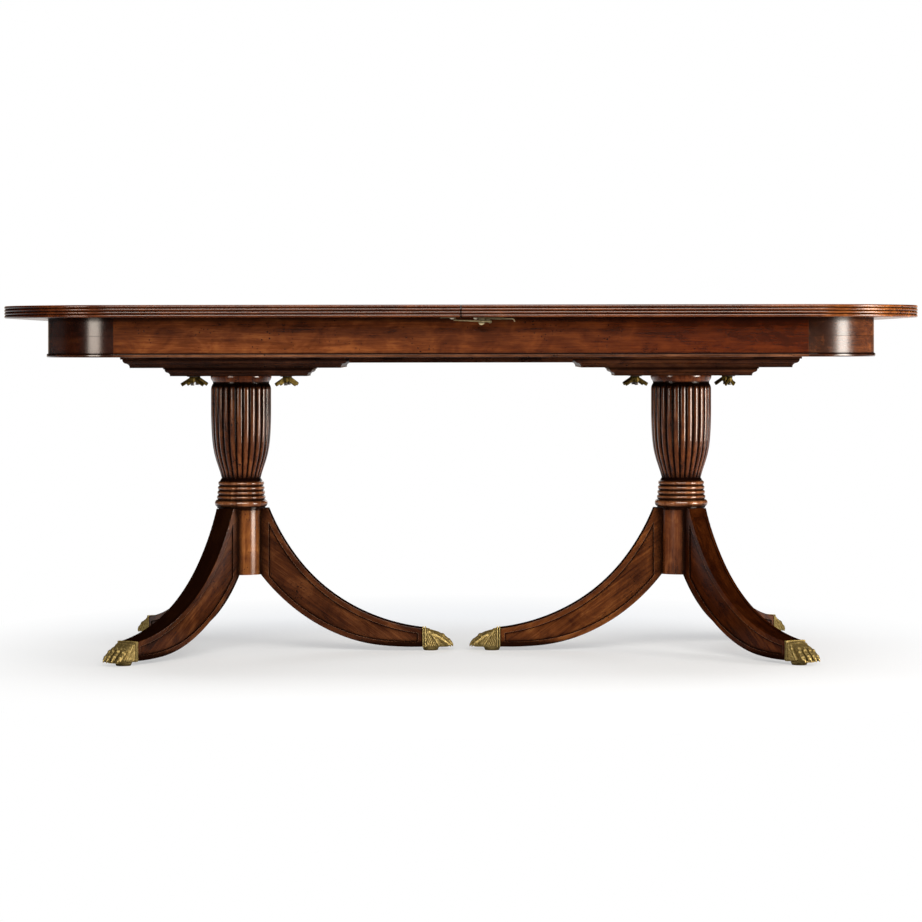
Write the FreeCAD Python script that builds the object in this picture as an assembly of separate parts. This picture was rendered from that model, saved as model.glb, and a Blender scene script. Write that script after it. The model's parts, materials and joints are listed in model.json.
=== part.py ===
import FreeCAD, Part
import math
import os
from FreeCAD import Vector

# A dining table in millimetres. X runs along its length, Y across it and Z up from the floor.
# The front is the -Y side, and the origin lies on the floor below the middle of the top.

# Overall size
table_length = 1965.0
table_width = 1120.0
table_height = 770.0

# Fits and allowances that several pieces share
overrun = 6.0
slide_gap = 0.3
joint_clearance = 0.15
running_clearance = 0.05
glue_gap = 0.1

# Top: two halves that meet at the middle and slide apart
top_thickness = 26.0
top_overhang = 93.0
seam_gap = 0.6
half_travel = 228.0
reed_count = 4
reed_round_share = 0.44
edge_dowel_radius = 5.0
edge_dowel_length = 44.0
edge_dowel_shares = (-0.68, -0.24, 0.24, 0.68)

# Apron: four rails and four curved corners, with a bead let into the bottom edge
apron_height = 83.5
apron_thickness = 22.0
apron_corner_radius = 156.0
bead_height = 8.0
bead_proud = 3.0
bead_let_in = 6.0
bead_round_share = 0.34
apron_dowel_radius = 4.0
apron_dowel_length = 36.0
apron_dowel_shares = (0.24, 0.74)

# Cross rails that carry the guides and take the plinth boards
cross_rail_height = 38.0
cross_rail_width = 45.0
cross_rail_inset = 85.0
tie_rail_place = 150.0
tenon_length = 10.0
tenon_thickness = 14.0
tenon_shoulder = 8.0

# Guides in the frame and bearers below the top halves
guide_distance = 180.0
guide_width = 36.0
guide_top_gap = 2.0
groove_height = 10.0
groove_depth = 8.0
bearer_width = 30.0
bearer_height = 38.0
bearer_reach = 420.0
bearer_gap = 0.4
bearer_relief = 0.8
tongue_clearance = 0.4
stop_thickness = 12.0
stop_height = 30.0
stop_clearance = 0.5
bearer_screw_shares = (0.1, 0.5, 0.9)

# Screws: a large size for the frame and a small one for the latches
screw_radius = 2.2
screw_head_radius = 4.2
screw_head_height = 2.6
screw_slot_width = 0.9
screw_bite = 15.0
small_screw_radius = 1.3
small_screw_head_radius = 2.5
small_screw_head_height = 1.3
small_screw_bite = 9.0

# Pedestal boards, with an ogee moulded round all four edges
plinth_length = 501.0
plinth_width = 426.0
plinth_thickness = 24.0
plinth_lip = 5.2
plinth_quirk = 4.5
plinth_inset = 19.0
head_length = 334.0
head_width = 190.0
head_thickness = 19.0
head_lip = 3.6
head_quirk = 3.0
head_inset = 14.0
ogee_bulge_share = 0.2
tie_thickness = 12.7
tie_end_gap = 0.2
plinth_screw_inset = 55.0

# Column: tenon, collar, reeded vase, rings and hub turned as one piece
tenon_radius = 28.0
collar_radius = 68.5
vase_seat = 0.8
collar_height = 17.0
collar_lip_share = 0.18
collar_neck_share = 0.2
vase_radius = 67.5
vase_shoulder_height = 16.0
vase_steps = 14
shoulder_steps = 6
column_reed_count = 26
column_reed_depth_share = 0.062
vase_shares = (
    (0.0, 0.644), (0.12, 0.752), (0.25, 0.873), (0.39, 0.949), (0.55, 0.986), (0.75, 1.0), (1.0, 1.0))
shoulder_shares = ((0.0, 1.0), (0.5, 0.99), (0.82, 0.96), (1.0, 0.926))
ring_count = 4
ring_low_radius = 54.5
ring_high_radius = 51.5
ring_depth = 4.0
ring_height = 10.5
ring_cove_height = 6.0
torus_radius = 59.3
torus_height = 16.0
torus_depth = 5.3
fillet_height = 3.0
hub_radius = 51.0
hub_bottom = 172.0
hub_height = 148.0

# Legs: sabre shape, with sunk panels on both sides and a channel along the top
leg_spread = 122.5
leg_thickness = 48.0
leg_shoulder = 62.0
leg_reach = 408.0
leg_end_height = 41.0
leg_round = 1.6
leg_upper_angle = -68.1
leg_upper_shares = ((0.0, 1.0), (0.193, 0.569), (0.542, 0.187), (1.0, 0.0))
leg_lower_angle = -52.4
leg_lower_shares = ((0.0, 1.0), (0.193, 0.556), (0.488, 0.164), (0.758, 0.017), (1.0, 0.0))
panel_margin = 11.5
panel_depth = 2.0
panel_hub_margin = 12.0
panel_foot_margin = 10.0
channel_margin = 8.0
channel_depth = 1.2
dovetail_depth = 16.0
dovetail_neck = 18.0
dovetail_width = 26.0
dovetail_height = 110.0

# Paw feet: brass sockets on the leg ends, with four toes, on round pads
collar_band = 9.0
collar_proud = 1.6
paw_length = 70.0
paw_tongue_length = 34.0
paw_tongue_inset = 6.0
paw_tongue_drop = 11.0
paw_back_shares = ((0.0, 0.98), (0.5, 0.76), (0.88, 0.3))
paw_round = 7.0
toe_radius = 7.4
toe_length = 34.0
toe_lift = 1.2
toe_places_shares = (-0.83, -0.29, 0.29, 0.83)
toe_setback_shares = (0.08, 0.0, 0.0, 0.08)
pad_height = 7.5
pad_top_radius = 19.0
pad_bottom_radius = 15.5
pad_setback = 18.0
feet_gap = 34.0

# Bolts, washers and wing nuts that hold each head board to its plinth board
bolt_inset_x = 63.0
bolt_inset_y = 29.0
bolt_radius = 4.0
bolt_head_radius = 9.0
bolt_head_height = 4.5
bolt_clearance = 0.3
bolt_tail = 21.0
washer_radius = 12.0
washer_thickness = 1.6
nut_radius = 8.5
nut_tip_radius = 6.4
nut_height = 13.0
nut_seat_gap = 0.1
wing_span = 54.0
wing_drop = 11.0
wing_width = 8.5
wing_thickness = 4.0
front_nut_turns = (4.0, 27.0, 8.0, 64.0)
back_nut_turns = (-18.0, 38.0, 22.0, -32.0)

# Draw latch across the seam, below the overhang
latch_place_share = 0.52
plate_thickness = 1.6
base_start = 26.0
base_length = 64.0
base_width = 22.0
base_screw_margin = 5.0
ear_thickness = 2.0
ear_length = 13.0
pivot_place = 43.0
pivot_drop = 10.0
pivot_radius = 2.0
barrel_radius = 4.2
lever_width = 15.2
ear_gap = 0.6
lever_seat_gap = 0.6
lever_strip = 2.2
lever_length = 63.0
lever_curl = 7.5
bail_pivot_reach = 18.0
bail_pivot_rise = 0.5
bail_lug_radius = 3.4
bail_wire_radius = 1.5
bail_side_gap = 0.8
bail_end_bite = 4.0
bail_hook_place = 14.0
bail_hook_drop = 6.0
keeper_length = 34.0
keeper_start = 10.5
keeper_width = 26.0
keeper_lip = 2.0
keeper_lip_thickness = 1.8
keeper_screw_margin = 7.0

# Heights and places worked out from the sizes above
top_under = table_height - top_thickness
apron_top = top_under - slide_gap
apron_bottom = apron_top - apron_height
apron_half_x = table_length / 2 - top_overhang
apron_half_y = table_width / 2 - top_overhang
rail_inner_x = apron_half_x - apron_thickness
rail_inner_y = apron_half_y - apron_thickness
corner_x = apron_half_x - apron_corner_radius
corner_y = apron_half_y - apron_corner_radius
top_corner_radius = apron_corner_radius + top_overhang
cross_rail_top = apron_bottom + cross_rail_height
guide_top = top_under - guide_top_gap
groove_middle = (cross_rail_top + guide_top) / 2
bearer_bottom = top_under - bearer_height
bearer_end = rail_inner_x - stop_thickness - stop_clearance - half_travel
pedestal_place = leg_reach + paw_length + feet_gap / 2
plinth_bottom = apron_bottom - plinth_thickness
head_bottom = plinth_bottom - head_thickness
tie_bottom = apron_bottom - tie_thickness
tie_half = pedestal_place - plinth_length / 2 - tie_end_gap
cross_rail_offset = plinth_length / 2 - cross_rail_inset
hub_top = hub_bottom + hub_height
torus_bottom = hub_top + fillet_height
torus_top = torus_bottom + torus_height
vase_bottom = torus_top + ring_count * ring_height + ring_cove_height
vase_top = head_bottom - collar_height
leg_low = pad_height + collar_proud
bolt_x = head_length / 2 - bolt_inset_x
bolt_y = head_width / 2 - bolt_inset_y
nut_top = head_bottom - washer_thickness - nut_seat_gap
latch_y = apron_half_y + top_overhang * latch_place_share
plate_bottom = top_under - plate_thickness
pivot_z = top_under - pivot_drop
bail_pivot_x = pivot_place + bail_pivot_reach
bail_pivot_z = pivot_z + bail_pivot_rise
half_lever = lever_width / 2
ear_inner = half_lever + ear_gap
bail_side = ear_inner + ear_thickness + bail_side_gap + bail_wire_radius

up = Vector(0, 0, 1)
along_x = Vector(1, 0, 0)
along_y = Vector(0, 1, 0)
centre = Vector(0, 0, 0)
sides = (-1, 1)


# Helpers


def span(x0, x1, y0, y1, z0, z1):
    """A block between two corners, given in either order."""
    corner = Vector(min(x0, x1), min(y0, y1), min(z0, z1))
    return Part.makeBox(abs(x1 - x0), abs(y1 - y0), abs(z1 - z0), corner)


def rounded_slab(half_x, half_y, radius, z0, z1):
    """A flat slab about the vertical axis, with round corners in plan."""
    slab = span(-half_x, half_x, -half_y, half_y, z0, z1)
    uprights = [edge for edge in slab.Edges if edge.BoundBox.ZLength > abs(z1 - z0) / 2]
    return slab.makeFillet(radius, uprights)


def soft_rim_slab(half_x, half_y, radius, z0, z1, rim):
    """A rounded slab whose upper and lower rims are rounded over too."""
    slab = rounded_slab(half_x, half_y, radius, z0, z1)
    rims = [edge for edge in slab.Edges if edge.BoundBox.ZLength < abs(z1 - z0) / 2]
    return slab.makeFillet(rim, rims)


def closed_face(edges):
    """A flat face inside a closed run of edges."""
    return Part.Face(Part.Wire(edges))


def polygon(points):
    """A flat face inside straight sides."""
    return Part.Face(Part.makePolygon(points + [points[0]]))


def line(start, end):
    """A straight edge."""
    return Part.LineSegment(start, end).toShape()


def arc(start, middle, end):
    """A round edge through three points."""
    return Part.Arc(start, middle, end).toShape()


def first_point(edges):
    """Where a run of edges starts."""
    return edges[0].Vertexes[0].Point


def last_point(edges):
    """Where a run of edges ends."""
    return edges[-1].Vertexes[-1].Point


def joined(pieces):
    """One solid from pieces that touch or overlap."""
    return pieces[0].fuse(pieces[1:]).removeSplitter()


def screw(x, y, head_z, length, radius, head_radius, head_height):
    """A countersunk screw driven upwards, with its slotted head flush at head_z."""
    head = Part.makeCone(head_radius, radius, head_height, Vector(x, y, head_z))
    shank = Part.makeCylinder(radius, length, Vector(x, y, head_z))
    slot = span(x - head_radius, x + head_radius, y - screw_slot_width / 2, y + screw_slot_width / 2,
                head_z, head_z + head_height / 2)
    return head.fuse(shank).cut(slot)


def screw_hole(x, y, head_z, length, radius, head_radius, head_height):
    """The clearance that a countersunk screw needs."""
    sink = Part.makeCone(head_radius + joint_clearance, radius + joint_clearance, head_height,
                         Vector(x, y, head_z))
    bore = Part.makeCylinder(radius + joint_clearance, length + joint_clearance, Vector(x, y, head_z))
    return sink.fuse(bore)


def large_screw(x, y, head_z, length):
    """The arguments of a frame screw."""
    return (x, y, head_z, length, screw_radius, screw_head_radius, screw_head_height)


def small_screw(x, y):
    """The arguments of a latch screw, driven through a plate into the top."""
    length = plate_thickness + small_screw_bite
    return (x, y, plate_bottom, length, small_screw_radius, small_screw_head_radius, small_screw_head_height)


# Top halves, their bearers and the dowels between them


def bearer_span(side):
    """Where a half's bearers start and end along X."""
    return side * bearer_end, -side * bearer_reach


def bearer_faces(side):
    """The near and far faces of a half's bearers, as distances from the middle of the table.

    The left half's bearers run inside the guides and the right half's outside them.
    """
    near = guide_distance + side * (guide_width / 2 + bearer_gap)
    return near, near + side * bearer_width


def bearer(side, row):
    """One bearer, with the tongue that runs in the guide's groove."""
    start, end = bearer_span(side)
    near, far = bearer_faces(side)
    tip = near - side * (bearer_gap + groove_depth - tongue_clearance)
    half_tongue = groove_height / 2 - tongue_clearance
    bar = span(start, end, row * near, row * far, bearer_bottom, top_under)
    tongue = span(start, end, row * tip, row * far, groove_middle - half_tongue, groove_middle + half_tongue)
    relief = span(0, end, row * near, row * far, top_under - bearer_relief, top_under)
    return joined([bar.cut(relief), tongue])


def bearer_screws(side):
    """The screws that hold a half's two bearers."""
    near, far = bearer_faces(side)
    return [large_screw(side * bearer_end * share, row * (near + far) / 2, bearer_bottom,
                        bearer_height + screw_bite)
            for row in sides for share in bearer_screw_shares]


def latch_screw_places(side):
    """Where the latch screws of one half stand along X: keepers on the left, bases on the right."""
    if side < 0:
        return keeper_screw_margin - keeper_start - keeper_length, -keeper_start - keeper_length / 2
    return base_start + base_screw_margin, base_start + base_length - base_screw_margin


def latch_screws(side):
    """The screws of the front and back latch pieces on one half."""
    return [small_screw(x, row * latch_y) for row in sides for x in latch_screw_places(side)]


def edge_dowel(share, radius, start, end):
    """A dowel or its socket in the meeting edge, at a share of the half width."""
    place = Vector(start, share * table_width / 2, top_under + top_thickness / 2)
    return Part.makeCylinder(radius, end - start, place, along_x)


def reeded_top():
    """The whole top as a stack of round-edged layers, one for each reed."""
    step = top_thickness / reed_count
    layers = []
    for index in range(reed_count):
        low = top_under + index * step
        layers.append(soft_rim_slab(table_length / 2, table_width / 2, top_corner_radius, low, low + step,
                                    step * reed_round_share))
    return joined(layers)


def top_half(side, whole):
    """One half of the top, cut at the seam and bored for its dowels and screws."""
    keep = span(side * seam_gap / 2, side * table_length, -table_width, table_width,
                0, table_height + overrun)
    half_dowel = edge_dowel_length / 2 + joint_clearance
    fit = running_clearance * 2 if side < 0 else joint_clearance
    bore = edge_dowel_radius + fit
    cuts = [edge_dowel(share, bore, -half_dowel, half_dowel) for share in edge_dowel_shares]
    cuts += [screw_hole(*values) for values in bearer_screws(side) + latch_screws(side)]
    return whole.common(keep).cut(cuts)


def make_top():
    """The two halves with everything that is fixed to their undersides but the latches."""
    whole = reeded_top()
    nodes = {}
    for side, name in zip(sides, ("left", "right")):
        nodes[name + "_top_panel"] = top_half(side, whole)
        bores = [screw_hole(*values) for values in bearer_screws(side)]
        nodes[name + "_bearers"] = Part.makeCompound([bearer(side, row).cut(bores) for row in sides])
        nodes[name + "_top_screws"] = Part.makeCompound(
            [screw(*values) for values in bearer_screws(side) + latch_screws(side)])
    half = edge_dowel_length / 2
    nodes["edge_dowels"] = Part.makeCompound(
        [edge_dowel(share, edge_dowel_radius, -half, half) for share in edge_dowel_shares])
    return nodes


# Apron frame


def cross_rail_places():
    """Where the cross rails stand along X: two over each pedestal and two over the tie board."""
    over = [side * pedestal_place + end * cross_rail_offset for side in sides for end in sides]
    return over + [side * tie_rail_place for side in sides]


def inside_apron(depth):
    """The room inside the apron, with a depth let into its inner faces, as high as the cross rails."""
    return rounded_slab(rail_inner_x + depth, rail_inner_y + depth,
                        apron_corner_radius - apron_thickness + depth, apron_bottom, cross_rail_top)


def cross_rail(x, slack=0.0):
    """A cross rail with a stub tenon at each end, coped to the apron, or the room that it needs."""
    half = cross_rail_width / 2
    bar = span(x - half, x + half, -table_width, table_width, apron_bottom, cross_rail_top)
    thick = tenon_thickness / 2 + slack
    tenon = span(x - thick, x + thick, -table_width, table_width, apron_bottom + tenon_shoulder - slack,
                 cross_rail_top - tenon_shoulder + slack)
    return bar.common(inside_apron(0)).fuse(tenon.common(inside_apron(tenon_length + slack)))


def apron_dowel_lines():
    """The middle and direction of every dowel in the apron's corner joints."""
    rows = []
    for share in apron_dowel_shares:
        z = cross_rail_top + share * (apron_top - cross_rail_top)
        for sx in sides:
            for sy in sides:
                along_rail = Vector(sx * corner_x, sy * (apron_half_y - apron_thickness / 2), z)
                across_end = Vector(sx * (apron_half_x - apron_thickness / 2), sy * corner_y, z)
                rows += [(along_rail, along_x), (across_end, along_y)]
    return rows


def apron_dowel(middle, direction, slack=0.0):
    """A dowel about its middle, or the hole that it needs."""
    half = apron_dowel_length / 2 + slack
    return Part.makeCylinder(apron_dowel_radius + slack, half * 2, middle - direction * half, direction)


def apron_zones():
    """Blocks that divide the apron ring into its rails and corners."""
    far_x = apron_half_x + top_overhang
    far_y = apron_half_y + top_overhang
    zones = {}
    for sy, row in zip(sides, ("front", "back")):
        zones[row + "_apron_rail"] = span(-corner_x, corner_x, sy * corner_y, sy * far_y, 0, table_height)
    for sx, side in zip(sides, ("left", "right")):
        zones[side + "_apron_rail"] = span(sx * corner_x, sx * far_x, -corner_y, corner_y, 0, table_height)
        for sy, row in zip(sides, ("front", "back")):
            zones[row + "_" + side + "_corner"] = span(sx * corner_x, sx * far_x, sy * corner_y, sy * far_y,
                                                       0, table_height)
    return zones


def make_apron():
    """The rails, corners, dowels and bead."""
    outer = rounded_slab(apron_half_x, apron_half_y, apron_corner_radius, apron_bottom, apron_top)
    inner = rounded_slab(rail_inner_x, rail_inner_y, apron_corner_radius - apron_thickness,
                         apron_bottom - overrun, apron_top + overrun)
    seat = rounded_slab(apron_half_x - bead_let_in, apron_half_y - bead_let_in,
                        apron_corner_radius - bead_let_in, apron_bottom - overrun, apron_bottom + bead_height)
    rebate = rounded_slab(apron_half_x + overrun, apron_half_y + overrun, apron_corner_radius + overrun,
                          apron_bottom - overrun, apron_bottom + bead_height).cut(seat)
    bead = soft_rim_slab(apron_half_x + bead_proud, apron_half_y + bead_proud,
                         apron_corner_radius + bead_proud, apron_bottom, apron_bottom + bead_height,
                         bead_height * bead_round_share).cut(seat)
    holes = [apron_dowel(middle, direction, joint_clearance) for middle, direction in apron_dowel_lines()]
    mortises = [cross_rail(x, joint_clearance) for x in cross_rail_places()]
    ring = outer.cut(inner).cut(rebate).cut(holes + mortises)
    nodes = {name: ring.common(zone) for name, zone in apron_zones().items()}
    straight = span(-corner_x, corner_x, -table_width, table_width, 0, table_height)
    nodes["rail_beads"] = bead.common(straight)
    nodes["end_beads"] = bead.cut(straight)
    nodes["apron_dowels"] = Part.makeCompound([apron_dowel(*row) for row in apron_dowel_lines()])
    return nodes


def frame_screws():
    """The screws that hold the plinth boards and the tie board up to the cross rails."""
    rows = []
    y = plinth_width / 2 - plinth_screw_inset
    for side in sides:
        for row in sides:
            for end in sides:
                x = side * pedestal_place + end * cross_rail_offset
                rows.append(large_screw(x, row * y, plinth_bottom, plinth_thickness + screw_bite))
            rows.append(large_screw(side * tie_rail_place, row * y, tie_bottom, tie_thickness + screw_bite))
    return rows


def guide(row):
    """A guide rail with a groove in each side, on top of the cross rails."""
    half = guide_width / 2
    core = half - groove_depth
    reach = rail_inner_x - joint_clearance
    bar = span(-reach, reach, row * (guide_distance - half), row * (guide_distance + half),
               cross_rail_top, guide_top)
    low = groove_middle - groove_height / 2
    cuts = [span(-reach, reach, row * (guide_distance + face * half), row * (guide_distance + face * core),
                 low, low + groove_height) for face in sides]
    return bar.cut(cuts)


def bearer_stop(side, row):
    """A block inside the end rail that a bearer meets when its half is drawn out."""
    near, far = bearer_faces(side)
    middle = bearer_bottom + bearer_height / 2
    return span(side * rail_inner_x, side * (rail_inner_x - stop_thickness), row * near, row * far,
                middle - stop_height / 2, middle + stop_height / 2)


def make_frame():
    """Cross rails, guides, stops, tie board and the screws of the frame."""
    holes = [screw_hole(*values) for values in frame_screws()]
    half_width = plinth_width / 2
    tie = span(-tie_half, tie_half, -half_width, half_width, tie_bottom, apron_bottom)
    return {
        "cross_rails": Part.makeCompound([cross_rail(x).cut(holes) for x in cross_rail_places()]),
        "front_guide": guide(-1),
        "back_guide": guide(1),
        "bearer_stops": Part.makeCompound([bearer_stop(side, row) for side in sides for row in sides]),
        "tie_board": tie.cut(holes),
        "frame_screws": Part.makeCompound([screw(*values) for values in frame_screws()]),
    }


# Pedestal boards, bolts and wing nuts


def ogee_side(half, sign, low, high, lip, quirk, inset):
    """The edges of a moulded side, from its top corner down to its bottom corner."""
    corner = Vector(sign * half, 0, high)
    lip_foot = Vector(sign * half, 0, high - lip)
    step = Vector(sign * (half - quirk), 0, high - lip)
    foot = Vector(sign * (half - inset), 0, low)
    middle = (step + foot) / 2
    swell = (foot - step) * ogee_bulge_share / 2
    normal = Vector(-sign * swell.z, 0, sign * swell.x)
    return [line(corner, lip_foot), line(lip_foot, step),
            arc(step, (step + middle) / 2 + normal, middle), arc(middle, (middle + foot) / 2 - normal, foot)]


def ogee_bar(half, low, high, lip, quirk, inset, reach):
    """A long bar with that moulding on both sides, centred on the Y axis."""
    right = ogee_side(half, 1, low, high, lip, quirk, inset)
    left = ogee_side(half, -1, low, high, lip, quirk, inset)
    top = line(Vector(-half, 0, high), Vector(half, 0, high))
    base = line(Vector(half - inset, 0, low), Vector(inset - half, 0, low))
    face = Part.Face(Part.Wire(Part.__sortEdges__([top] + right + [base] + left)))
    return face.extrude(along_y * reach * 2).translated(along_y * -reach)


def moulded_board(length, width, low, high, lip, quirk, inset):
    """A board with the moulding mitred round its four edges."""
    lengthwise = ogee_bar(length / 2, low, high, lip, quirk, inset, width)
    crosswise = ogee_bar(width / 2, low, high, lip, quirk, inset, length).rotated(centre, up, 90)
    return lengthwise.common(crosswise)


def bolt_places():
    """Where the four bolts of a pedestal stand about its axis: the front pair, then the back pair."""
    return [(end * bolt_x, row * bolt_y) for row in sides for end in sides]


def bolt(x, y):
    """A round-headed bolt through the plinth board and the head board."""
    shank = Part.makeCylinder(bolt_radius, apron_bottom - head_bottom + bolt_tail,
                              Vector(x, y, head_bottom - bolt_tail))
    head = Part.makeCylinder(bolt_head_radius, bolt_head_height, Vector(x, y, apron_bottom))
    crown = [edge for edge in head.Edges if edge.BoundBox.ZMin > apron_bottom + bolt_head_height / 2]
    return shank.fuse(head.makeFillet(bolt_head_height / 2, crown))


def washer(x, y):
    """A flat washer below the head board."""
    place = Vector(x, y, head_bottom - washer_thickness)
    ring = Part.makeCylinder(washer_radius, washer_thickness, place)
    return ring.cut(Part.makeCylinder(bolt_radius + bolt_clearance, washer_thickness, place))


def wing_nut(x, y, turn):
    """A wing nut with two drooping wings, turned about its bolt."""
    body = Part.makeCone(nut_tip_radius, nut_radius, nut_height, Vector(0, 0, nut_top - nut_height))
    half = wing_thickness / 2
    tip = wing_span / 2
    solids = [body]
    for end in sides:
        high = nut_top - nut_height / 4
        points = [Vector(0, -half, high), Vector(end * (tip - wing_width / 2), -half, high - wing_drop),
                  Vector(end * tip, -half, high - wing_drop - wing_width / 2),
                  Vector(end * (tip - wing_width), -half, high - wing_drop - wing_width),
                  Vector(0, -half, high - wing_width)]
        blade = polygon(points).extrude(along_y * wing_thickness)
        solids.append(blade)
    bore = Part.makeCylinder(bolt_radius + running_clearance, nut_height + overrun * 2,
                             Vector(0, 0, nut_top - nut_height - overrun))
    nut = joined(solids).cut(bore)
    return nut.rotated(centre, up, turn).translated(Vector(x, y, 0))


def make_pedestal_head(side, name):
    """The two boards over a pedestal with the bolts' holes, and its four wing nuts."""
    x = side * pedestal_place
    holes = [Part.makeCylinder(bolt_radius + bolt_clearance, table_height, Vector(x + dx, dy, 0))
             for dx, dy in bolt_places()]
    screws = [screw_hole(*values) for values in frame_screws()]
    socket = Part.makeCylinder(tenon_radius + joint_clearance, table_height, Vector(x, 0, 0))
    shift = Vector(x, 0, 0)
    plinth = moulded_board(plinth_length, plinth_width, plinth_bottom, apron_bottom,
                           plinth_lip, plinth_quirk, plinth_inset)
    head = moulded_board(head_length, head_width, head_bottom, plinth_bottom,
                         head_lip, head_quirk, head_inset)
    nodes = {
        name + "_plinth_board": plinth.translated(shift).cut(holes + screws),
        name + "_head_board": head.translated(shift).cut(holes + [socket]),
    }
    first = 0 if side < 0 else 2
    turns = front_nut_turns[first:first + 2] + back_nut_turns[first:first + 2]
    labels = ("front_outer", "front_inner", "back_outer", "back_inner")
    if side > 0:
        labels = ("front_inner", "front_outer", "back_inner", "back_outer")
    for label, turn, (dx, dy) in zip(labels, turns, bolt_places()):
        nodes[name + "_" + label + "_wing_nut"] = wing_nut(x + dx, dy, turn)
    return nodes


def make_bolts():
    """Every bolt and washer of both pedestals."""
    places = [(side * pedestal_place + dx, dy) for side in sides for dx, dy in bolt_places()]
    return {
        "pedestal_bolts": Part.makeCompound([bolt(x, y) for x, y in places]),
        "bolt_washers": Part.makeCompound([washer(x, y) for x, y in places]),
    }


# Columns


def reed_wire(radius, z):
    """A closed ring of outward-curved arcs, one for each reed."""
    valley = radius * (1 - column_reed_depth_share)
    step = 2 * math.pi / column_reed_count

    def at(distance, turns):
        angle = turns * step
        return Vector(distance * math.cos(angle), distance * math.sin(angle), z)

    return Part.Wire([arc(at(valley, i), at(radius, i + 0.5), at(valley, i + 1))
                      for i in range(column_reed_count)])


def reed_rings(shares, low, height, steps):
    """Rings of reeds up a smooth curve through shares of the height and of the widest radius."""
    curve = Part.BSplineCurve()
    curve.interpolate([Vector(vase_radius * wide, 0, low + height * high) for high, wide in shares])
    rings = []
    for index in range(steps + 1):
        level = curve.FirstParameter + (curve.LastParameter - curve.FirstParameter) * index / steps
        point = curve.value(level)
        rings.append(reed_wire(point.x, point.z))
    return rings


def reeded_vase():
    """The reeded body of the column with its rounded shoulder."""
    body_top = vase_top - vase_shoulder_height
    body = reed_rings(vase_shares, vase_bottom, body_top - vase_bottom, vase_steps)
    shoulder = reed_rings(shoulder_shares, body_top, vase_shoulder_height, shoulder_steps)
    return Part.makeLoft(body + shoulder[1:], True, True)


def turned(edges, low, high):
    """A solid of revolution from an open run of edges between two heights on the axis."""
    foot = Vector(0, 0, low)
    head = Vector(0, 0, high)
    axis = [line(last_point(edges), head), line(head, foot), line(foot, first_point(edges))]
    face = closed_face(edges + axis)
    return face.revolve(centre, up, 360)


def on_profile(radius, z):
    """A point of a turned outline."""
    return Vector(radius, 0, z)


def turned_foot():
    """Hub, torus and rings below the vase."""
    torus_neck = torus_radius - torus_depth
    points = [on_profile(hub_radius, hub_bottom), on_profile(hub_radius, hub_top),
              on_profile(torus_neck, hub_top), on_profile(torus_neck, torus_bottom)]
    edges = [line(a, b) for a, b in zip(points, points[1:])]
    edges.append(arc(points[-1], on_profile(torus_radius, torus_bottom + torus_height / 2),
                     on_profile(torus_neck, torus_top)))
    last = on_profile(torus_neck, torus_top)
    for index in range(ring_count):
        peak = ring_low_radius + (ring_high_radius - ring_low_radius) * index / (ring_count - 1)
        low = torus_top + index * ring_height
        start = on_profile(peak - ring_depth, low)
        end = on_profile(peak - ring_depth, low + ring_height)
        edges += [line(last, start), arc(start, on_profile(peak, low + ring_height / 2), end)]
        last = end
    edges.append(line(last, on_profile(vase_radius * vase_shares[0][1] + vase_seat, vase_bottom)))
    return turned(edges, hub_bottom, vase_bottom)


def turned_collar():
    """Neck, collar and tenon above the vase."""
    neck = vase_radius * shoulder_shares[-1][1] + vase_seat
    neck_top = vase_top + collar_height * collar_neck_share
    lip = head_bottom - collar_height * collar_lip_share
    middle = on_profile((neck + collar_radius * 2) / 3, (neck_top + lip) / 2)
    points = [on_profile(collar_radius, lip), on_profile(collar_radius, head_bottom),
              on_profile(tenon_radius, head_bottom), on_profile(tenon_radius, plinth_bottom)]
    edges = [line(on_profile(neck, vase_top), on_profile(neck, neck_top)),
             arc(on_profile(neck, neck_top), middle, points[0])]
    edges += [line(a, b) for a, b in zip(points, points[1:])]
    return turned(edges, vase_top, plinth_bottom)


def dovetail(slack=0.0):
    """The key on a leg's root that slides up into the hub, or the socket that it needs."""
    outer = hub_radius + overrun / 2
    inner = hub_radius - dovetail_depth - slack
    neck = dovetail_neck / 2 + slack
    wide = dovetail_width / 2 + slack
    points = [Vector(outer, -neck, hub_bottom), Vector(outer, neck, hub_bottom),
              Vector(inner, wide, hub_bottom), Vector(inner, -wide, hub_bottom)]
    return polygon(points).extrude(up * (dovetail_height + slack))


def leg_turns(side):
    """The directions of a pedestal's inner, front and back legs, in degrees about its axis."""
    inner = 0 if side < 0 else 180
    return (("inner", inner), ("front", inner + side * leg_spread), ("back", inner - side * leg_spread))


def make_column(side, name):
    """One column with sockets for its three legs."""
    whole = joined([turned_foot(), reeded_vase(), turned_collar()])
    sockets = [dovetail(joint_clearance).rotated(centre, up, turn) for label, turn in leg_turns(side)]
    return {name + "_column": whole.cut(sockets).translated(Vector(side * pedestal_place, 0, 0))}


# Legs and feet, made along +X from the pedestal's axis and then turned to their places


def arc_chain(points, heading):
    """Tangent arcs through a row of points: three points of each, with the way that it runs there."""
    run = Vector(math.cos(math.radians(heading)), 0, math.sin(math.radians(heading)))
    rows = []
    for start, end in zip(points, points[1:]):
        chord = end - start
        along = Vector(chord).normalize()
        lean = run.dot(along)
        middle = (start + end) / 2 + (run - along * lean) * (chord.Length / 2 / (1 + lean))
        leaving = along * (2 * lean) - run
        rows.append(((start, run), (middle, along), (end, leaving)))
        run = leaving
    return rows


def beside(rows, distance):
    """The arcs of a chain moved sideways by a steady distance, upwards where that is positive."""
    return [arc(*[point + Vector(-run.z, 0, run.x) * distance for point, run in row]) for row in rows]


def leg_chain(shares, heading, start, low, high):
    """The arcs along a leg through shares of its reach and its height."""
    points = [Vector(start + (leg_reach - start) * along, 0, low + (high - low) * rise)
              for along, rise in shares]
    return arc_chain(points, heading)


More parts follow.
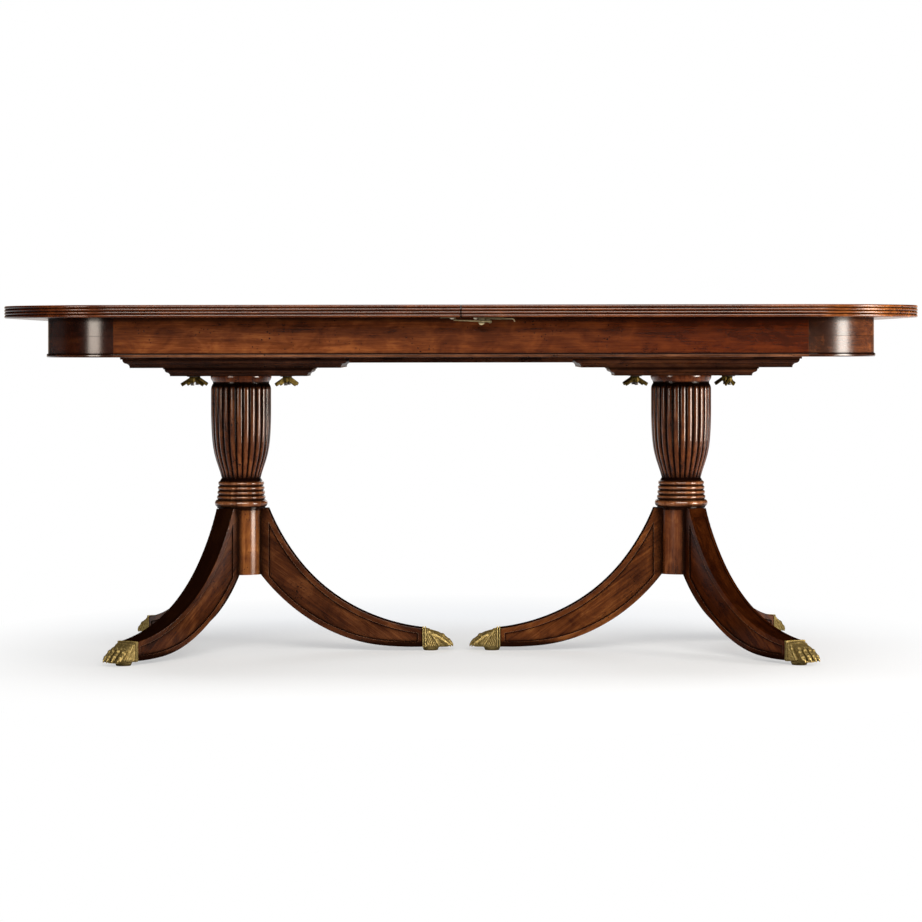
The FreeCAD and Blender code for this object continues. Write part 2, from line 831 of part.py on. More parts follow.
def leg_chains():
    """The upper and lower outlines of a leg."""
    cheek = math.sqrt(hub_radius ** 2 - (leg_thickness / 2) ** 2)
    upper = leg_chain(leg_upper_shares, leg_upper_angle, leg_shoulder, leg_low + leg_end_height, hub_top)
    lower = leg_chain(leg_lower_shares, leg_lower_angle, cheek, leg_low, hub_bottom)
    return upper, lower


def strip_between(upper, lower, y0, y1):
    """A solid between two runs of edges, from one depth to another."""
    ends = [line(last_point(upper), last_point(lower)), line(first_point(lower), first_point(upper))]
    face = Part.Face(Part.Wire(Part.__sortEdges__(upper + lower + ends)))
    return face.extrude(along_y * (y1 - y0)).translated(along_y * y0)


def leg_blank():
    """The plain leg, with its long edges eased."""
    upper, lower = [beside(chain, 0) for chain in leg_chains()]
    root = first_point(lower).x / 2
    root_high = Vector(root, 0, hub_top)
    root_low = Vector(root, 0, hub_bottom)
    straight = [line(root_high, first_point(upper)), line(last_point(upper), last_point(lower)),
                line(first_point(lower), root_low), line(root_low, root_high)]
    face = Part.Face(Part.Wire(Part.__sortEdges__(upper + lower + straight)))
    blank = face.extrude(along_y * leg_thickness).translated(along_y * -leg_thickness / 2)
    round_edges = [edge for edge in blank.Edges if isinstance(edge.Curve, Part.Circle)]
    return blank.makeFillet(leg_round, round_edges)


def leg_sinkings():
    """The sunk panels on the two sides and the channel along the top."""
    upper, lower = leg_chains()
    half = leg_thickness / 2
    floor = half - panel_depth
    start = hub_radius + panel_hub_margin
    end = leg_reach - panel_foot_margin
    zone = span(start, end, -leg_thickness, leg_thickness, 0, hub_top - panel_margin)
    panel_top = beside(upper, -panel_margin)
    panel_foot = beside(lower, panel_margin)
    panels = [strip_between(panel_top, panel_foot, side * floor, side * (half + overrun)).common(zone)
              for side in sides]
    rail = half - channel_margin
    channel = strip_between(beside(upper, overrun), beside(upper, -channel_depth), -rail, rail)
    channel_zone = span(leg_shoulder + channel_margin, end, -rail, rail, 0, hub_top - channel_margin)
    return panels + [channel.common(channel_zone)]


def leg_tongue(slack=0.0):
    """The tongue on a leg's end that fills the paw's socket, or the room that it needs."""
    half = leg_thickness / 2 - paw_tongue_inset + slack
    low = leg_low + paw_tongue_inset - slack
    high = leg_low + leg_end_height - paw_tongue_drop + slack
    start = leg_reach - paw_tongue_inset
    return span(start, leg_reach + paw_tongue_length + slack, -half, half, low, high)


def leg():
    """A whole leg: coped to the hub, with its key, sinkings and tongue."""
    hub = Part.makeCylinder(hub_radius + glue_gap, table_height)
    body = leg_blank().cut([hub] + leg_sinkings())
    return joined([body, dovetail(), leg_tongue()])


def paw_back():
    """The sloping back of the paw, rounded along both sides."""
    high = leg_low + leg_end_height - pad_height
    points = [Vector(leg_reach + paw_length * along, 0, pad_height + high * rise)
              for along, rise in paw_back_shares]
    heel = Vector(leg_reach, 0, pad_height)
    ball = Vector(points[-1].x, 0, pad_height)
    edges = [arc(*points), line(points[-1], ball), line(ball, heel), line(heel, points[0])]
    blank = closed_face(edges).extrude(along_y * leg_thickness).translated(along_y * -leg_thickness / 2)
    ridges = [edge for edge in blank.Edges if isinstance(edge.Curve, Part.Circle)]
    return blank.makeFillet(paw_round, ridges)


def toe(place, setback):
    """A plump toe with a round end, lying along the foot."""
    tip = leg_reach + paw_length - paw_length * setback
    root = Vector(tip - toe_length, 0, 0)
    root_top = root + up * toe_radius
    ball_top = Vector(tip - toe_radius, 0, toe_radius)
    slant = toe_radius * math.sqrt(1 / 2)
    ball_side = Vector(tip - toe_radius + slant, 0, slant)
    end = Vector(tip, 0, 0)
    edges = [line(root, root_top), line(root_top, ball_top), arc(ball_top, ball_side, end), line(end, root)]
    capsule = closed_face(edges).revolve(centre, along_x, 360)
    return capsule.translated(Vector(0, place * leg_thickness / 2, pad_height + toe_radius + toe_lift))


def paw():
    """The brass paw: a collar band, a sloping back and four toes, hollow for the leg's tongue."""
    half = leg_thickness / 2 + collar_proud
    band = span(leg_reach, leg_reach + collar_band, -half, half, pad_height,
                leg_low + leg_end_height + collar_proud)
    toes = [toe(place, setback) for place, setback in zip(toe_places_shares, toe_setback_shares)]
    return joined([band, paw_back()] + toes).cut(leg_tongue(joint_clearance))


def pad():
    """The round pad below a paw."""
    place = Vector(leg_reach + pad_setback, 0, 0)
    return Part.makeCone(pad_bottom_radius, pad_top_radius, pad_height, place)


def make_legs(side, name):
    """The three legs of a pedestal and their paws."""
    shift = Vector(side * pedestal_place, 0, 0)
    blank = leg()
    foot = paw()
    nodes = {}
    for label, turn in leg_turns(side):
        nodes[name + "_" + label + "_leg"] = blank.rotated(centre, up, turn).translated(shift)
        nodes[name + "_" + label + "_paw"] = foot.rotated(centre, up, turn).translated(shift)
    return nodes


def make_pads():
    """The six pads that the table stands on."""
    pads = [pad().rotated(centre, up, turn).translated(Vector(side * pedestal_place, 0, 0))
            for side in sides for label, turn in leg_turns(side)]
    return {"floor_pads": Part.makeCompound(pads)}


# Draw latches


def across(radius, x, z, y0, y1):
    """A round bar that lies along Y between two depths, given in either order."""
    return Part.makeCylinder(radius, abs(y1 - y0), Vector(x, min(y0, y1), z), along_y)


def latch_base():
    """The base plate with two ears that hold the pivot pin."""
    half = base_width / 2
    plate = span(base_start, base_start + base_length, -half, half, plate_bottom, top_under)
    ears = []
    for side in sides:
        near = side * ear_inner
        far = near + side * ear_thickness
        ear = span(pivot_place - ear_length / 2, pivot_place + ear_length / 2, near, far, pivot_z, top_under)
        ears += [ear, across(ear_length / 2, pivot_place, pivot_z, near, far)]
    bore = across(pivot_radius + running_clearance, pivot_place, pivot_z, -base_width, base_width)
    holes = [screw_hole(*small_screw(x, 0)) for x in latch_screw_places(1)]
    return joined([plate] + ears).cut([bore] + holes)


def latch_pin():
    """The pin that the lever turns on."""
    reach = ear_inner + ear_thickness
    return across(pivot_radius, pivot_place, pivot_z, -reach, reach)


def latch_lever():
    """The lever: barrel, bail lug, flat handle and a curled finger end."""
    high = plate_bottom - lever_seat_gap
    low = high - lever_strip
    end = pivot_place + lever_length
    barrel = across(barrel_radius, pivot_place, pivot_z, -half_lever, half_lever)
    lug = across(bail_lug_radius, bail_pivot_x, bail_pivot_z, -half_lever, half_lever)
    web = span(pivot_place, bail_pivot_x, -half_lever, half_lever, pivot_z, low)
    handle = span(pivot_place, end, -half_lever, half_lever, low, high)
    curl_middle = high - lever_curl
    curl = across(lever_curl, end, curl_middle, -half_lever, half_lever)
    hollow = across(lever_curl - lever_strip, end, curl_middle, -lever_width, lever_width)
    quarter = span(end, end + lever_curl, -half_lever, half_lever, curl_middle, high)
    body = joined([barrel, lug, web, handle, curl.common(quarter).cut(hollow)])
    reach = half_lever - bail_end_bite - joint_clearance
    pocket_radius = bail_wire_radius + running_clearance
    pockets = [across(pocket_radius, bail_pivot_x, bail_pivot_z, side * reach, side * lever_width)
               for side in sides]
    bore = across(pivot_radius + running_clearance, pivot_place, pivot_z, -lever_width, lever_width)
    return body.cut([bore] + pockets)


def latch_bail():
    """The wire bail, from its pivot on the lever to the bar that hooks behind the keeper."""
    bar_z = top_under - bail_hook_drop
    near = half_lever - bail_end_bite
    route = [Vector(bail_pivot_x, near, bail_pivot_z), Vector(bail_pivot_x, bail_side, bail_pivot_z),
             Vector(-bail_hook_place, bail_side, bar_z), Vector(-bail_hook_place, -bail_side, bar_z),
             Vector(bail_pivot_x, -bail_side, bail_pivot_z), Vector(bail_pivot_x, -near, bail_pivot_z)]
    runs = [Part.makeCylinder(bail_wire_radius, (b - a).Length, a, b - a) for a, b in zip(route, route[1:])]
    bends = [Part.makeSphere(bail_wire_radius, point) for point in route[1:-1]]
    return joined(runs + bends)


def latch_keeper():
    """The keeper plate with its turned-down lip."""
    half = keeper_width / 2
    end = -keeper_start - keeper_length
    plate = span(-keeper_start, end, -half, half, plate_bottom, top_under)
    lip = span(-keeper_start, -keeper_start - keeper_lip_thickness, -half, half,
               plate_bottom - keeper_lip, top_under)
    holes = [screw_hole(*small_screw(x, 0)) for x in latch_screw_places(-1)]
    return joined([plate, lip]).cut(holes)


def make_latches():
    """A latch at each end of the seam."""
    front = Vector(0, -latch_y, 0)
    back = Vector(0, latch_y, 0)
    nodes = {}
    pairs = {"latch_bases": latch_base(), "latch_pins": latch_pin(), "latch_keepers": latch_keeper()}
    for name, piece in pairs.items():
        nodes[name] = Part.makeCompound([piece.translated(front), piece.translated(back)])
    for name, piece in {"latch_lever": latch_lever(), "latch_bail": latch_bail()}.items():
        nodes["front_" + name] = piece.translated(front)
        nodes["back_" + name] = piece.translated(back)
    return nodes


def main():
    """Builds every piece and writes one file for each."""
    nodes = {}
    for part in (make_top(), make_apron(), make_frame(), make_bolts(), make_pads(), make_latches()):
        nodes.update(part)
    for side, name in zip(sides, ("left", "right")):
        nodes.update(make_pedestal_head(side, name))
        nodes.update(make_column(side, name))
        nodes.update(make_legs(side, name))
    os.makedirs("parts", exist_ok=True)
    for name, shape in sorted(nodes.items()):
        shape.exportStep("parts/" + name + ".step")
        print(name, len(shape.Solids), shape.isValid(), round(shape.Volume))


main()
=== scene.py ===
"""Dresses the double pedestal dining table in its finishes and sets it in a white studio."""
import json
import logging
import math
from dataclasses import dataclass, replace
from enum import Enum
from itertools import product

import bmesh
import bpy
from mathutils import Matrix, Vector


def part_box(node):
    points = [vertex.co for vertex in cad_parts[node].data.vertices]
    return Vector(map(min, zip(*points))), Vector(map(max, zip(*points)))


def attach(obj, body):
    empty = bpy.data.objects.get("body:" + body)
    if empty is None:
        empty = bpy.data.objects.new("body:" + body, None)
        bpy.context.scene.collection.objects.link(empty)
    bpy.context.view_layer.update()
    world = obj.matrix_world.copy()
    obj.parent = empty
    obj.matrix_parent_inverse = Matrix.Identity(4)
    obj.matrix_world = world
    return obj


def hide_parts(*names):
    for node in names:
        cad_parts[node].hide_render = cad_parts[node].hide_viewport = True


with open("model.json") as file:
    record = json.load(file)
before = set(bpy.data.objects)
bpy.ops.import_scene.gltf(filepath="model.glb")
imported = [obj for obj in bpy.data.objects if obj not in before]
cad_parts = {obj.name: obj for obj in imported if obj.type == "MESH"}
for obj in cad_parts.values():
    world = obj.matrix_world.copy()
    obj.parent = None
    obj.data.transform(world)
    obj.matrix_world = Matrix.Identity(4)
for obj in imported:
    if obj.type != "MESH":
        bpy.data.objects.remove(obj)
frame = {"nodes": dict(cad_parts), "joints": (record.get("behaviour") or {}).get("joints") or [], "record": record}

LOG = logging.getLogger("dining_table")
MM = 0.001
SIDES = ("left", "right")
ROWS = ("front", "back")
LEGS = ("inner", "front", "back")

Inputs = bpy.types.NodeInputs
Material = bpy.types.Material
Mesh = bpy.types.Mesh
Outputs = bpy.types.NodeOutputs
Socket = bpy.types.NodeSocket
Tree = bpy.types.NodeTree

Span = tuple[float, float]
Triple = tuple[float, float, float]
Colour = tuple[float, float, float]
WHITE: Colour = (1.0, 1.0, 1.0)
WARM: Colour = (1.0, 0.87, 0.75)
SOFT: Colour = (1.0, 0.94, 0.86)
MILD: Colour = (1.0, 0.925, 0.82)
DIM: Colour = (1.0, 0.75, 0.55)


class Grain(Enum):
    """Which way the grain runs: its turn about the upright axis and its slope down from level."""

    ALONG = (0.0, 0.0)
    ACROSS = (90.0, 0.0)
    UPRIGHT = (0.0, 90.0)
    RISING_DIAGONAL = (45.0, 0.0)
    FALLING_DIAGONAL = (-45.0, 0.0)


@dataclass(frozen=True)
class Layer:
    """A layer of noise: its scale along and across the grain, its character and its share."""

    along: float
    across: float
    detail: float
    rough: float
    twist: float = 0.0
    share: float = 1.0


class Graph:
    """A node tree that is filled and wired in short steps."""

    MIX_A = 6
    MIX_B = 7
    MIX_RESULT = 2

    def __init__(self, tree: Tree) -> None:
        """Takes the tree to fill."""
        self.tree = tree

    def add(self, kind: str, inputs: dict | None = None, **settings: object) -> bpy.types.Node:
        """Adds a node.

        Args:
            kind: The node's type name without its ShaderNode prefix.
            inputs: Sockets or values for the inputs, by name or index.
            settings: Properties of the node.

        Returns:
            The new node.
        """
        node = self.tree.nodes.new(kind if kind.startswith("Node") else "ShaderNode" + kind)
        for name, value in settings.items():
            setattr(node, name, value)
        self.feed(node.inputs, inputs or {})
        return node

    def feed(self, sockets: Inputs, values: dict) -> None:
        """Links sockets to others, or sets their values, by name or index."""
        for name, value in values.items():
            socket = sockets[name]
            if isinstance(value, Socket):
                self.tree.links.new(value, socket)
            elif isinstance(value, tuple) and len(value) == 3 and socket.type == "RGBA":
                socket.default_value = (*value, 1.0)
            else:
                socket.default_value = value

    def result(self, kind: str, inputs: dict, **settings: object) -> Socket:
        """Adds a node and returns its first output."""
        return self.add(kind, inputs, **settings).outputs[0]

    def coords(self, kind: str) -> Socket:
        """Adds a texture coordinate and returns it."""
        return self.add("TexCoord").outputs[kind]

    def part(self, vector: object, axis: str) -> Socket:
        """Takes one part of a vector and returns it."""
        return self.add("SeparateXYZ", {0: vector}).outputs[axis]

    def math(self, operation: str, first: object, second: object = 0.0) -> Socket:
        """Adds a sum of two values and returns its result."""
        return self.result("Math", {0: first, 1: second}, operation=operation)

    def times(self, first: object, second: object) -> Socket:
        """Multiplies two values and returns the result."""
        return self.math("MULTIPLY", first, second)

    def most(self, first: object, second: object) -> Socket:
        """Takes the larger of two values and returns it."""
        return self.math("MAXIMUM", first, second)

    def scaled(self, vector: object, factors: Triple) -> Socket:
        """Multiplies a vector by factors and returns the result."""
        return self.result("VectorMath", {0: vector, 1: factors}, operation="MULTIPLY")

    def dot(self, first: object, second: object) -> Socket:
        """Tells how far two directions agree, from -1 to 1."""
        node = self.add("VectorMath", {0: first, 1: second}, operation="DOT_PRODUCT")
        return node.outputs["Value"]

    def noise(self, vector: object, layer: Layer) -> Socket:
        """Adds a layer of noise over a vector and returns its value."""
        place = self.scaled(vector, (layer.along, layer.across, layer.across))
        return self.result("TexNoise", {"Vector": place, "Scale": 1.0, "Detail": layer.detail,
                                        "Roughness": layer.rough, "Distortion": layer.twist})

    def remap(self, value: object, low: float, high: object, start: float = 0.0,
              end: float = 1.0) -> Socket:
        """Stretches a span of values onto another one, clamped, and returns the result."""
        return self.result("MapRange", {"Value": value, "From Min": low, "From Max": high,
                                        "To Min": start, "To Max": end})

    def between(self, mask: object, bare: float, full: float) -> Socket:
        """Goes from one value to another as a mask fills, and returns the result."""
        return self.remap(mask, 0.0, 1.0, bare, full)

    def mix(self, factor: object, first: object, second: object, blend: str = "MIX") -> Socket:
        """Mixes two colours and returns the result."""
        node = self.add("Mix", {0: factor, self.MIX_A: first, self.MIX_B: second},
                        data_type="RGBA", blend_type=blend)
        return node.outputs[self.MIX_RESULT]

    def ramp(self, value: object, colours: tuple[Colour, ...]) -> Socket:
        """Turns a value into a colour along an even row of colours and returns it."""
        node = self.add("ValToRGB", {0: value})
        row = node.color_ramp.elements
        last = len(colours) - 1
        while len(row) <= last:
            row.new(0.5)
        for index, (element, colour) in enumerate(zip(row, colours)):
            element.position = index / last
            element.color = (*colour, 1.0)
        return node.outputs[0]

    def shaders(self, factor: object, first: Socket, second: Socket) -> Socket:
        """Mixes two shaders and returns the result."""
        return self.result("MixShader", {0: factor, 1: first, 2: second})

    def rays(self) -> tuple[Socket, Socket]:
        """Gives a mask of camera rays and one of mirrored or bent rays."""
        path = self.add("LightPath").outputs
        mirrored = self.most(path["Is Glossy Ray"], path["Is Transmission Ray"])
        return path["Is Camera Ray"], mirrored


class Effects:
    """The effects that several finishes share, each built once as a node group."""

    FLOAT = "NodeSocketFloat"
    VECTOR = "NodeSocketVector"
    RIBBON = Layer(1.7, 26.0, 4.0, 0.55, 0.6, 0.5)
    STREAK = Layer(9.0, 210.0, 3.0, 0.6, 0.3, 0.34)
    HAIR = Layer(22.0, 640.0, 2.0, 0.5, 0.0, 0.16)
    MOTTLE = Layer(16.0, 24.0, 3.0, 0.6, 0.8)
    PORE = Layer(55.0, 1300.0, 1.0, 0.5)
    SMEAR = Layer(7.0, 11.0, 4.0, 0.65)
    DRIFT = Layer(14.0, 14.0, 2.0, 0.6)
    SKIN = Layer(1.0, 1.0, 4.0, 0.6)
    PITS = Layer(7.0, 7.0, 3.0, 0.6)
    NOISE_MIDDLE = 0.5
    TONE_SPAN = (0.33, 0.68)
    PORE_SPAN = (0.58, 0.72)
    SHADE_SAMPLES = 8
    OPEN_SHADE = 0.985
    EDGE_SAMPLES = 4
    WORN_TURN = (0.985, 0.8)
    WORN_SHADE = (0.75, 1.0)
    CREASE_SPAN = (0.49, 0.45)
    RIDGE_SPAN = (0.51, 0.56)
    SPECK_CELLS = 130.0
    DRIFT_SPAN = (0.42, 0.72)
    SPECK_SIZES = (0.02, 0.26)

    _built: dict[str, Tree] = {}

    @classmethod
    def place(cls, graph: Graph, name: str, inputs: dict) -> Outputs:
        """Places a shared effect in a material.

        Args:
            graph: The material's node tree.
            name: The effect's name.
            inputs: Sockets or values for its inputs.

        Returns:
            The effect's outputs.
        """
        if name not in cls._built:
            makers = {"wood_grain": cls._wood_grain, "glaze_shade_and_rub": cls._glaze_shade_and_rub,
                      "fly_specks": cls._fly_specks, "cast_skin": cls._cast_skin}
            cls._built[name] = makers[name](name)
        return graph.add("Group", inputs, node_tree=cls._built[name]).outputs

    @classmethod
    def _start(cls, name: str, inputs: dict[str, str],
               outputs: tuple[str, ...]) -> tuple[Graph, Outputs, Inputs]:
        """Starts a group with named sockets.

        Args:
            name: The group's name.
            inputs: Each input's name with its socket type.
            outputs: The names of the outputs, all plain values.

        Returns:
            The group's tree, what comes into it and what goes out of it.
        """
        tree = bpy.data.node_groups.new(name, "ShaderNodeTree")
        for label, kind in inputs.items():
            tree.interface.new_socket(label, in_out="INPUT", socket_type=kind)
        for label in outputs:
            tree.interface.new_socket(label, in_out="OUTPUT", socket_type=cls.FLOAT)
        graph = Graph(tree)
        return graph, graph.add("NodeGroupInput").outputs, graph.add("NodeGroupOutput").inputs

    @classmethod
    def _wood_grain(cls, name: str) -> Tree:
        """Ribbons, streaks, mottle and pores along X."""
        graph, source, sink = cls._start(name, {"Vector": cls.VECTOR, "Mottle": cls.FLOAT},
                                         ("Tone", "Pores", "Smear"))
        place = source["Vector"]
        mottle = graph.math("SUBTRACT", graph.noise(place, cls.MOTTLE), cls.NOISE_MIDDLE)
        tone = graph.times(mottle, source["Mottle"])
        for layer in (cls.RIBBON, cls.STREAK, cls.HAIR):
            tone = graph.math("ADD", tone, graph.times(graph.noise(place, layer), layer.share))
        pores = graph.remap(graph.noise(place, cls.PORE), *cls.PORE_SPAN)
        graph.feed(sink, {"Tone": graph.remap(tone, *cls.TONE_SPAN), "Pores": pores,
                          "Smear": graph.noise(place, cls.SMEAR)})
        return graph.tree

    @classmethod
    def _glaze_shade_and_rub(cls, name: str) -> Tree:
        """Where dark polish on wood and patina on brass gather in recesses, with painted shade there and under
        neighbouring parts, and where edges are rubbed.
        """
        graph, source, sink = cls._start(name, dict.fromkeys(("Reach", "Edge", "Bite"), cls.FLOAT),
                                         ("Recess", "Rub", "Crease", "Ridge"))
        # Ambient occlusion, which also sees other parts: painted shade in hollows and under overhangs, besides the
        # dark polish and patina held in hollows
        shade = graph.add("AmbientOcclusion", {"Distance": source["Reach"]},
                          samples=cls.SHADE_SAMPLES).outputs["AO"]
        soft = graph.result("Bevel", {"Radius": source["Edge"]}, samples=cls.EDGE_SAMPLES)
        true = graph.add("NewGeometry").outputs
        worn = graph.remap(graph.dot(soft, true["Normal"]), *cls.WORN_TURN)
        graph.feed(sink, {"Recess": graph.remap(shade, cls.OPEN_SHADE, source["Bite"]),
                          "Rub": graph.times(worn, graph.remap(shade, *cls.WORN_SHADE)),
                          "Crease": graph.remap(true["Pointiness"], *cls.CREASE_SPAN),
                          "Ridge": graph.remap(true["Pointiness"], *cls.RIDGE_SPAN)})
        return graph.tree

    @classmethod
    def _fly_specks(cls, name: str) -> Tree:
        """Small dark specks of an aged polish, in uneven drifts."""
        graph, source, sink = cls._start(name, {"Vector": cls.VECTOR, "Amount": cls.FLOAT},
                                         ("Specks",))
        place = source["Vector"]
        cells = graph.add("TexVoronoi", {"Vector": place, "Scale": cls.SPECK_CELLS,
                                         "Randomness": 1.0}).outputs["Distance"]
        size = graph.remap(graph.noise(place, cls.DRIFT), *cls.DRIFT_SPAN, *cls.SPECK_SIZES)
        dots = graph.math("LESS_THAN", cells, size)
        graph.feed(sink, {"Specks": graph.times(dots, source["Amount"])})
        return graph.tree

    @classmethod
    def _cast_skin(cls, name: str) -> Tree:
        """The uneven tone and fine pitting of an old casting."""
        graph, source, sink = cls._start(name, {"Vector": cls.VECTOR, "Scale": cls.FLOAT},
                                         ("Tone", "Pits"))
        place = graph.result("VectorMath", {0: source["Vector"], "Scale": source["Scale"]},
                             operation="SCALE")
        graph.feed(sink, {"Tone": graph.noise(place, cls.SKIN),
                          "Pits": graph.noise(place, cls.PITS)})
        return graph.tree


FINISHED: dict[str, Material] = {}


def empty_graph(owner: Material | bpy.types.World) -> Graph:
    """Empties the node tree of a material or world and returns it."""
    owner.use_nodes = True
    owner.node_tree.nodes.clear()
    return Graph(owner.node_tree)


def start_material(name: str) -> tuple[Material, Graph, Inputs]:
    """Starts a material with a Principled shader.

    Args:
        name: The material's name.

    Returns:
        The material, its node tree and its shader's inputs.
    """
    material = bpy.data.materials.new(name)
    FINISHED[name] = material
    graph = empty_graph(material)
    shader = graph.add("BsdfPrincipled")
    graph.add("OutputMaterial", {"Surface": shader.outputs[0]})
    return material, graph, shader.inputs


@dataclass(frozen=True)
class Band:
    """A band of heights with its own tone of painted light, and its share of glaze and painted shade in hollows
    and of painted shade on slopes.
    """

    low: float
    high: float
    tone: Colour
    glaze_and_shade: float
    slope_shade: float = 0.0


@dataclass(frozen=True)
class PolishedWood:
    """A polished mahogany or a plain inner hardwood, with sizes in metres.

    A neck is a dark band of painted shade, given by its lower end, its upper end and the softness of the lower
    one. A fade paints light along X where its factor brightens and shade where it darkens, and with fade_below it
    keeps to the moulded edge below a height, where the edge tone adds painted shade.
    """

    name: str
    dark: Colour
    middle: Colour
    light: Colour
    # Colour of dark polish and painted shade in hollows and under neighbouring parts
    glaze_and_shade: Colour = (0.006, 0.0018, 0.0009)
    mottle: float = 0.5
    specks: float = 0.8
    glaze_and_shade_amount: float = 0.85
    glaze_and_shade_reach: float = 0.014
    glaze_and_shade_bite: float = 0.72
    glaze_and_shade_coat: float = 0.12
    rub_amount: float = 0.25
    # Tone of rubbed edges: wear, which with the legs' pale tone is also a painted glint
    rub_and_glint_tone: Colour | None = None
    edge_radius: float = 0.0016
    # Painted shade with dark glaze on a leg's top and under faces, all but its sides
    edge_glaze_and_shade: float = 0.0
    side_span: Span = (0.4, 0.8)
    roughness: Span = (0.34, 0.5)
    smear_span: Span = (0.3, 0.7)
    sheen: float = 0.0
    coat: float = 0.8
    coat_roughness: float = 0.17
    coat_ior: float = 1.8
    coat_cut: float = 0.2
    low_coat: Span | None = None
    top_coat: float = 1.0
    pore_tone: float = 0.55
    pore_depth: float = 0.00012
    pore_strength: float = 0.5
    stack_joint: float = 0.0
    stack_half: float = 0.0007
    stack_glaze: float = 0.6
    # A dark line of painted shade along the seam, within these distances of it
    seam: Span | None = None
    # Dark bands of painted shade, such as under the collar, below the reeds and above the hub
    necks: tuple[Triple, ...] = ()
    # Bands of painted light and shade up a turned piece
    painted_light_bands: tuple[Band, ...] = ()
    slope_span: Span = (0.3, 0.75)
    # Painted light and shade along X, by the factor below
    fade: Span | None = None
    painted_light_factor: Colour = WHITE
    fade_below: float = 0.0
    edge_shade_tone: Colour = WHITE
    edge_pores: float = 0.15
    soft_end: float = 0.002
    seed_shift: Triple = (1.0, 0.37, 0.61)

    def _band(self, graph: Graph, height: Socket, low: float, high: float, soft: float) -> Socket:
        """A mask between two heights, with a soft lower end."""
        lower = graph.remap(height, low, low + soft)
        return graph.times(lower, graph.remap(height, high, high - self.soft_end))

    def _recess(self, graph: Graph, shade: Socket, spot: Outputs, bands: list[Socket],
                sides: Socket | None) -> Socket:
        """Finds where dark glaze and painted shade lie: in hollows, joints and necks, and on leg edges.

        Args:
            graph: The material's node tree.
            shade: The mask of the hollows.
            spot: The parts of the place on the piece.
            bands: The masks of the bands of painted light.
            sides: The mask of a leg's sides, if its edges take painted shade and glaze.

        Returns:
            The mask of the glaze and painted shade.
        """
        recess = graph.times(shade, self.glaze_and_shade_amount)
        for tone, band in zip(self.painted_light_bands, bands):
            recess = graph.times(recess, graph.between(band, 1.0, tone.glaze_and_shade))
            # Painted shade on the band's faces that look up or down
            if tone.slope_shade:
                rise = graph.math("ABSOLUTE", graph.part(graph.coords("Normal"), "Z"))
                leaning = graph.remap(rise, *self.slope_span, 0.0, tone.slope_shade)
                recess = graph.most(recess, graph.times(leaning, band))
        if self.stack_joint:
            line = graph.result("Math", {0: spot["Z"], 1: self.stack_joint, 2: self.stack_half},
                                operation="COMPARE")
            recess = graph.most(recess, graph.times(line, self.stack_glaze))
        # Painted shade along the seam between the halves
        if self.seam:
            beside = graph.math("ABSOLUTE", spot["X"])
            recess = graph.most(recess, graph.remap(beside, *self.seam))
        # Painted shade with glaze on the leg faces that are not sides
        if self.edge_glaze_and_shade:
            recess = graph.most(recess, graph.between(sides, self.edge_glaze_and_shade, 0.0))
        # Necks: bands of painted shade
        for neck in self.necks:
            recess = graph.most(recess, self._band(graph, spot["Z"], *neck))
        return recess

    def material(self, turn: float, slope: float, seed: float) -> Material:
        """Makes the finish with its grain running one way.

        Args:
            turn: The grain's turn about the upright axis, in degrees.
            slope: The grain's slope down from level, in degrees.
            seed: How far along the log this piece was cut, in metres.

        Returns:
            The material.
        """
        key = f"{self.name}_{turn:.0f}_{slope:.0f}_{seed:.1f}"
        if key in FINISHED:
            return FINISHED[key]
        material, graph, shader = start_material(key)
        level = Matrix.Rotation(math.radians(turn), 3, "Z")
        lay = level @ Matrix.Rotation(math.radians(slope), 3, "Y")
        where = graph.coords("Object")
        spot = graph.add("SeparateXYZ", {0: where}).outputs
        height = spot["Z"]
        board = graph.result("Mapping", {
            "Vector": where, "Rotation": lay.inverted().to_euler(),
            "Location": tuple(seed * share for share in self.seed_shift)})
        if self.stack_joint:
            block = graph.math("GREATER_THAN", height, self.stack_joint)
            board = graph.result("VectorMath", {0: board, 1: block}, operation="ADD")
        grain = Effects.place(graph, "wood_grain", {"Vector": board, "Mottle": self.mottle})
        specks = Effects.place(graph, "fly_specks", {"Vector": board, "Amount": self.specks})
        hollows_and_edges = Effects.place(graph, "glaze_shade_and_rub", {
            "Reach": self.glaze_and_shade_reach, "Edge": self.edge_radius, "Bite": self.glaze_and_shade_bite})
        colour = graph.ramp(grain["Tone"], (self.dark, self.middle, self.light))
        pores = grain["Pores"]
        # Painted light and shade along X; below fade_below the moulded edge also takes painted shade
        if self.fade:
            share = graph.remap(spot["X"], *self.fade)
            if self.fade_below:
                below = graph.remap(height, self.fade_below, self.fade_below - self.soft_end)
                share = graph.times(share, below)
                colour = graph.mix(below, colour, self.edge_shade_tone, "MULTIPLY")
                pores = graph.times(pores, graph.between(below, 1.0, self.edge_pores))
            colour = graph.mix(share, colour, self.painted_light_factor, "MULTIPLY")
        colour = graph.mix(graph.times(pores, self.pore_tone), colour, self.dark)
        colour = graph.mix(specks["Specks"], colour, self.glaze_and_shade)
        rub = graph.times(hollows_and_edges["Rub"], self.rub_amount)
        sides = None
        # On legs every face but the sides takes painted shade with the glaze: the top channel and the underside
        if self.edge_glaze_and_shade:
            facing = graph.dot(graph.coords("Normal"), tuple(level @ Vector((0.0, 1.0, 0.0))))
            sides = graph.remap(graph.math("ABSOLUTE", facing), *self.side_span)
            rub = graph.times(rub, sides)
        # Rubbed edges: wear, and on the legs also painted glints along the arrises
        colour = graph.mix(rub, colour, self.rub_and_glint_tone or self.light)
        bands = [self._band(graph, height, tone.low, tone.high, self.soft_end)
                 for tone in self.painted_light_bands]
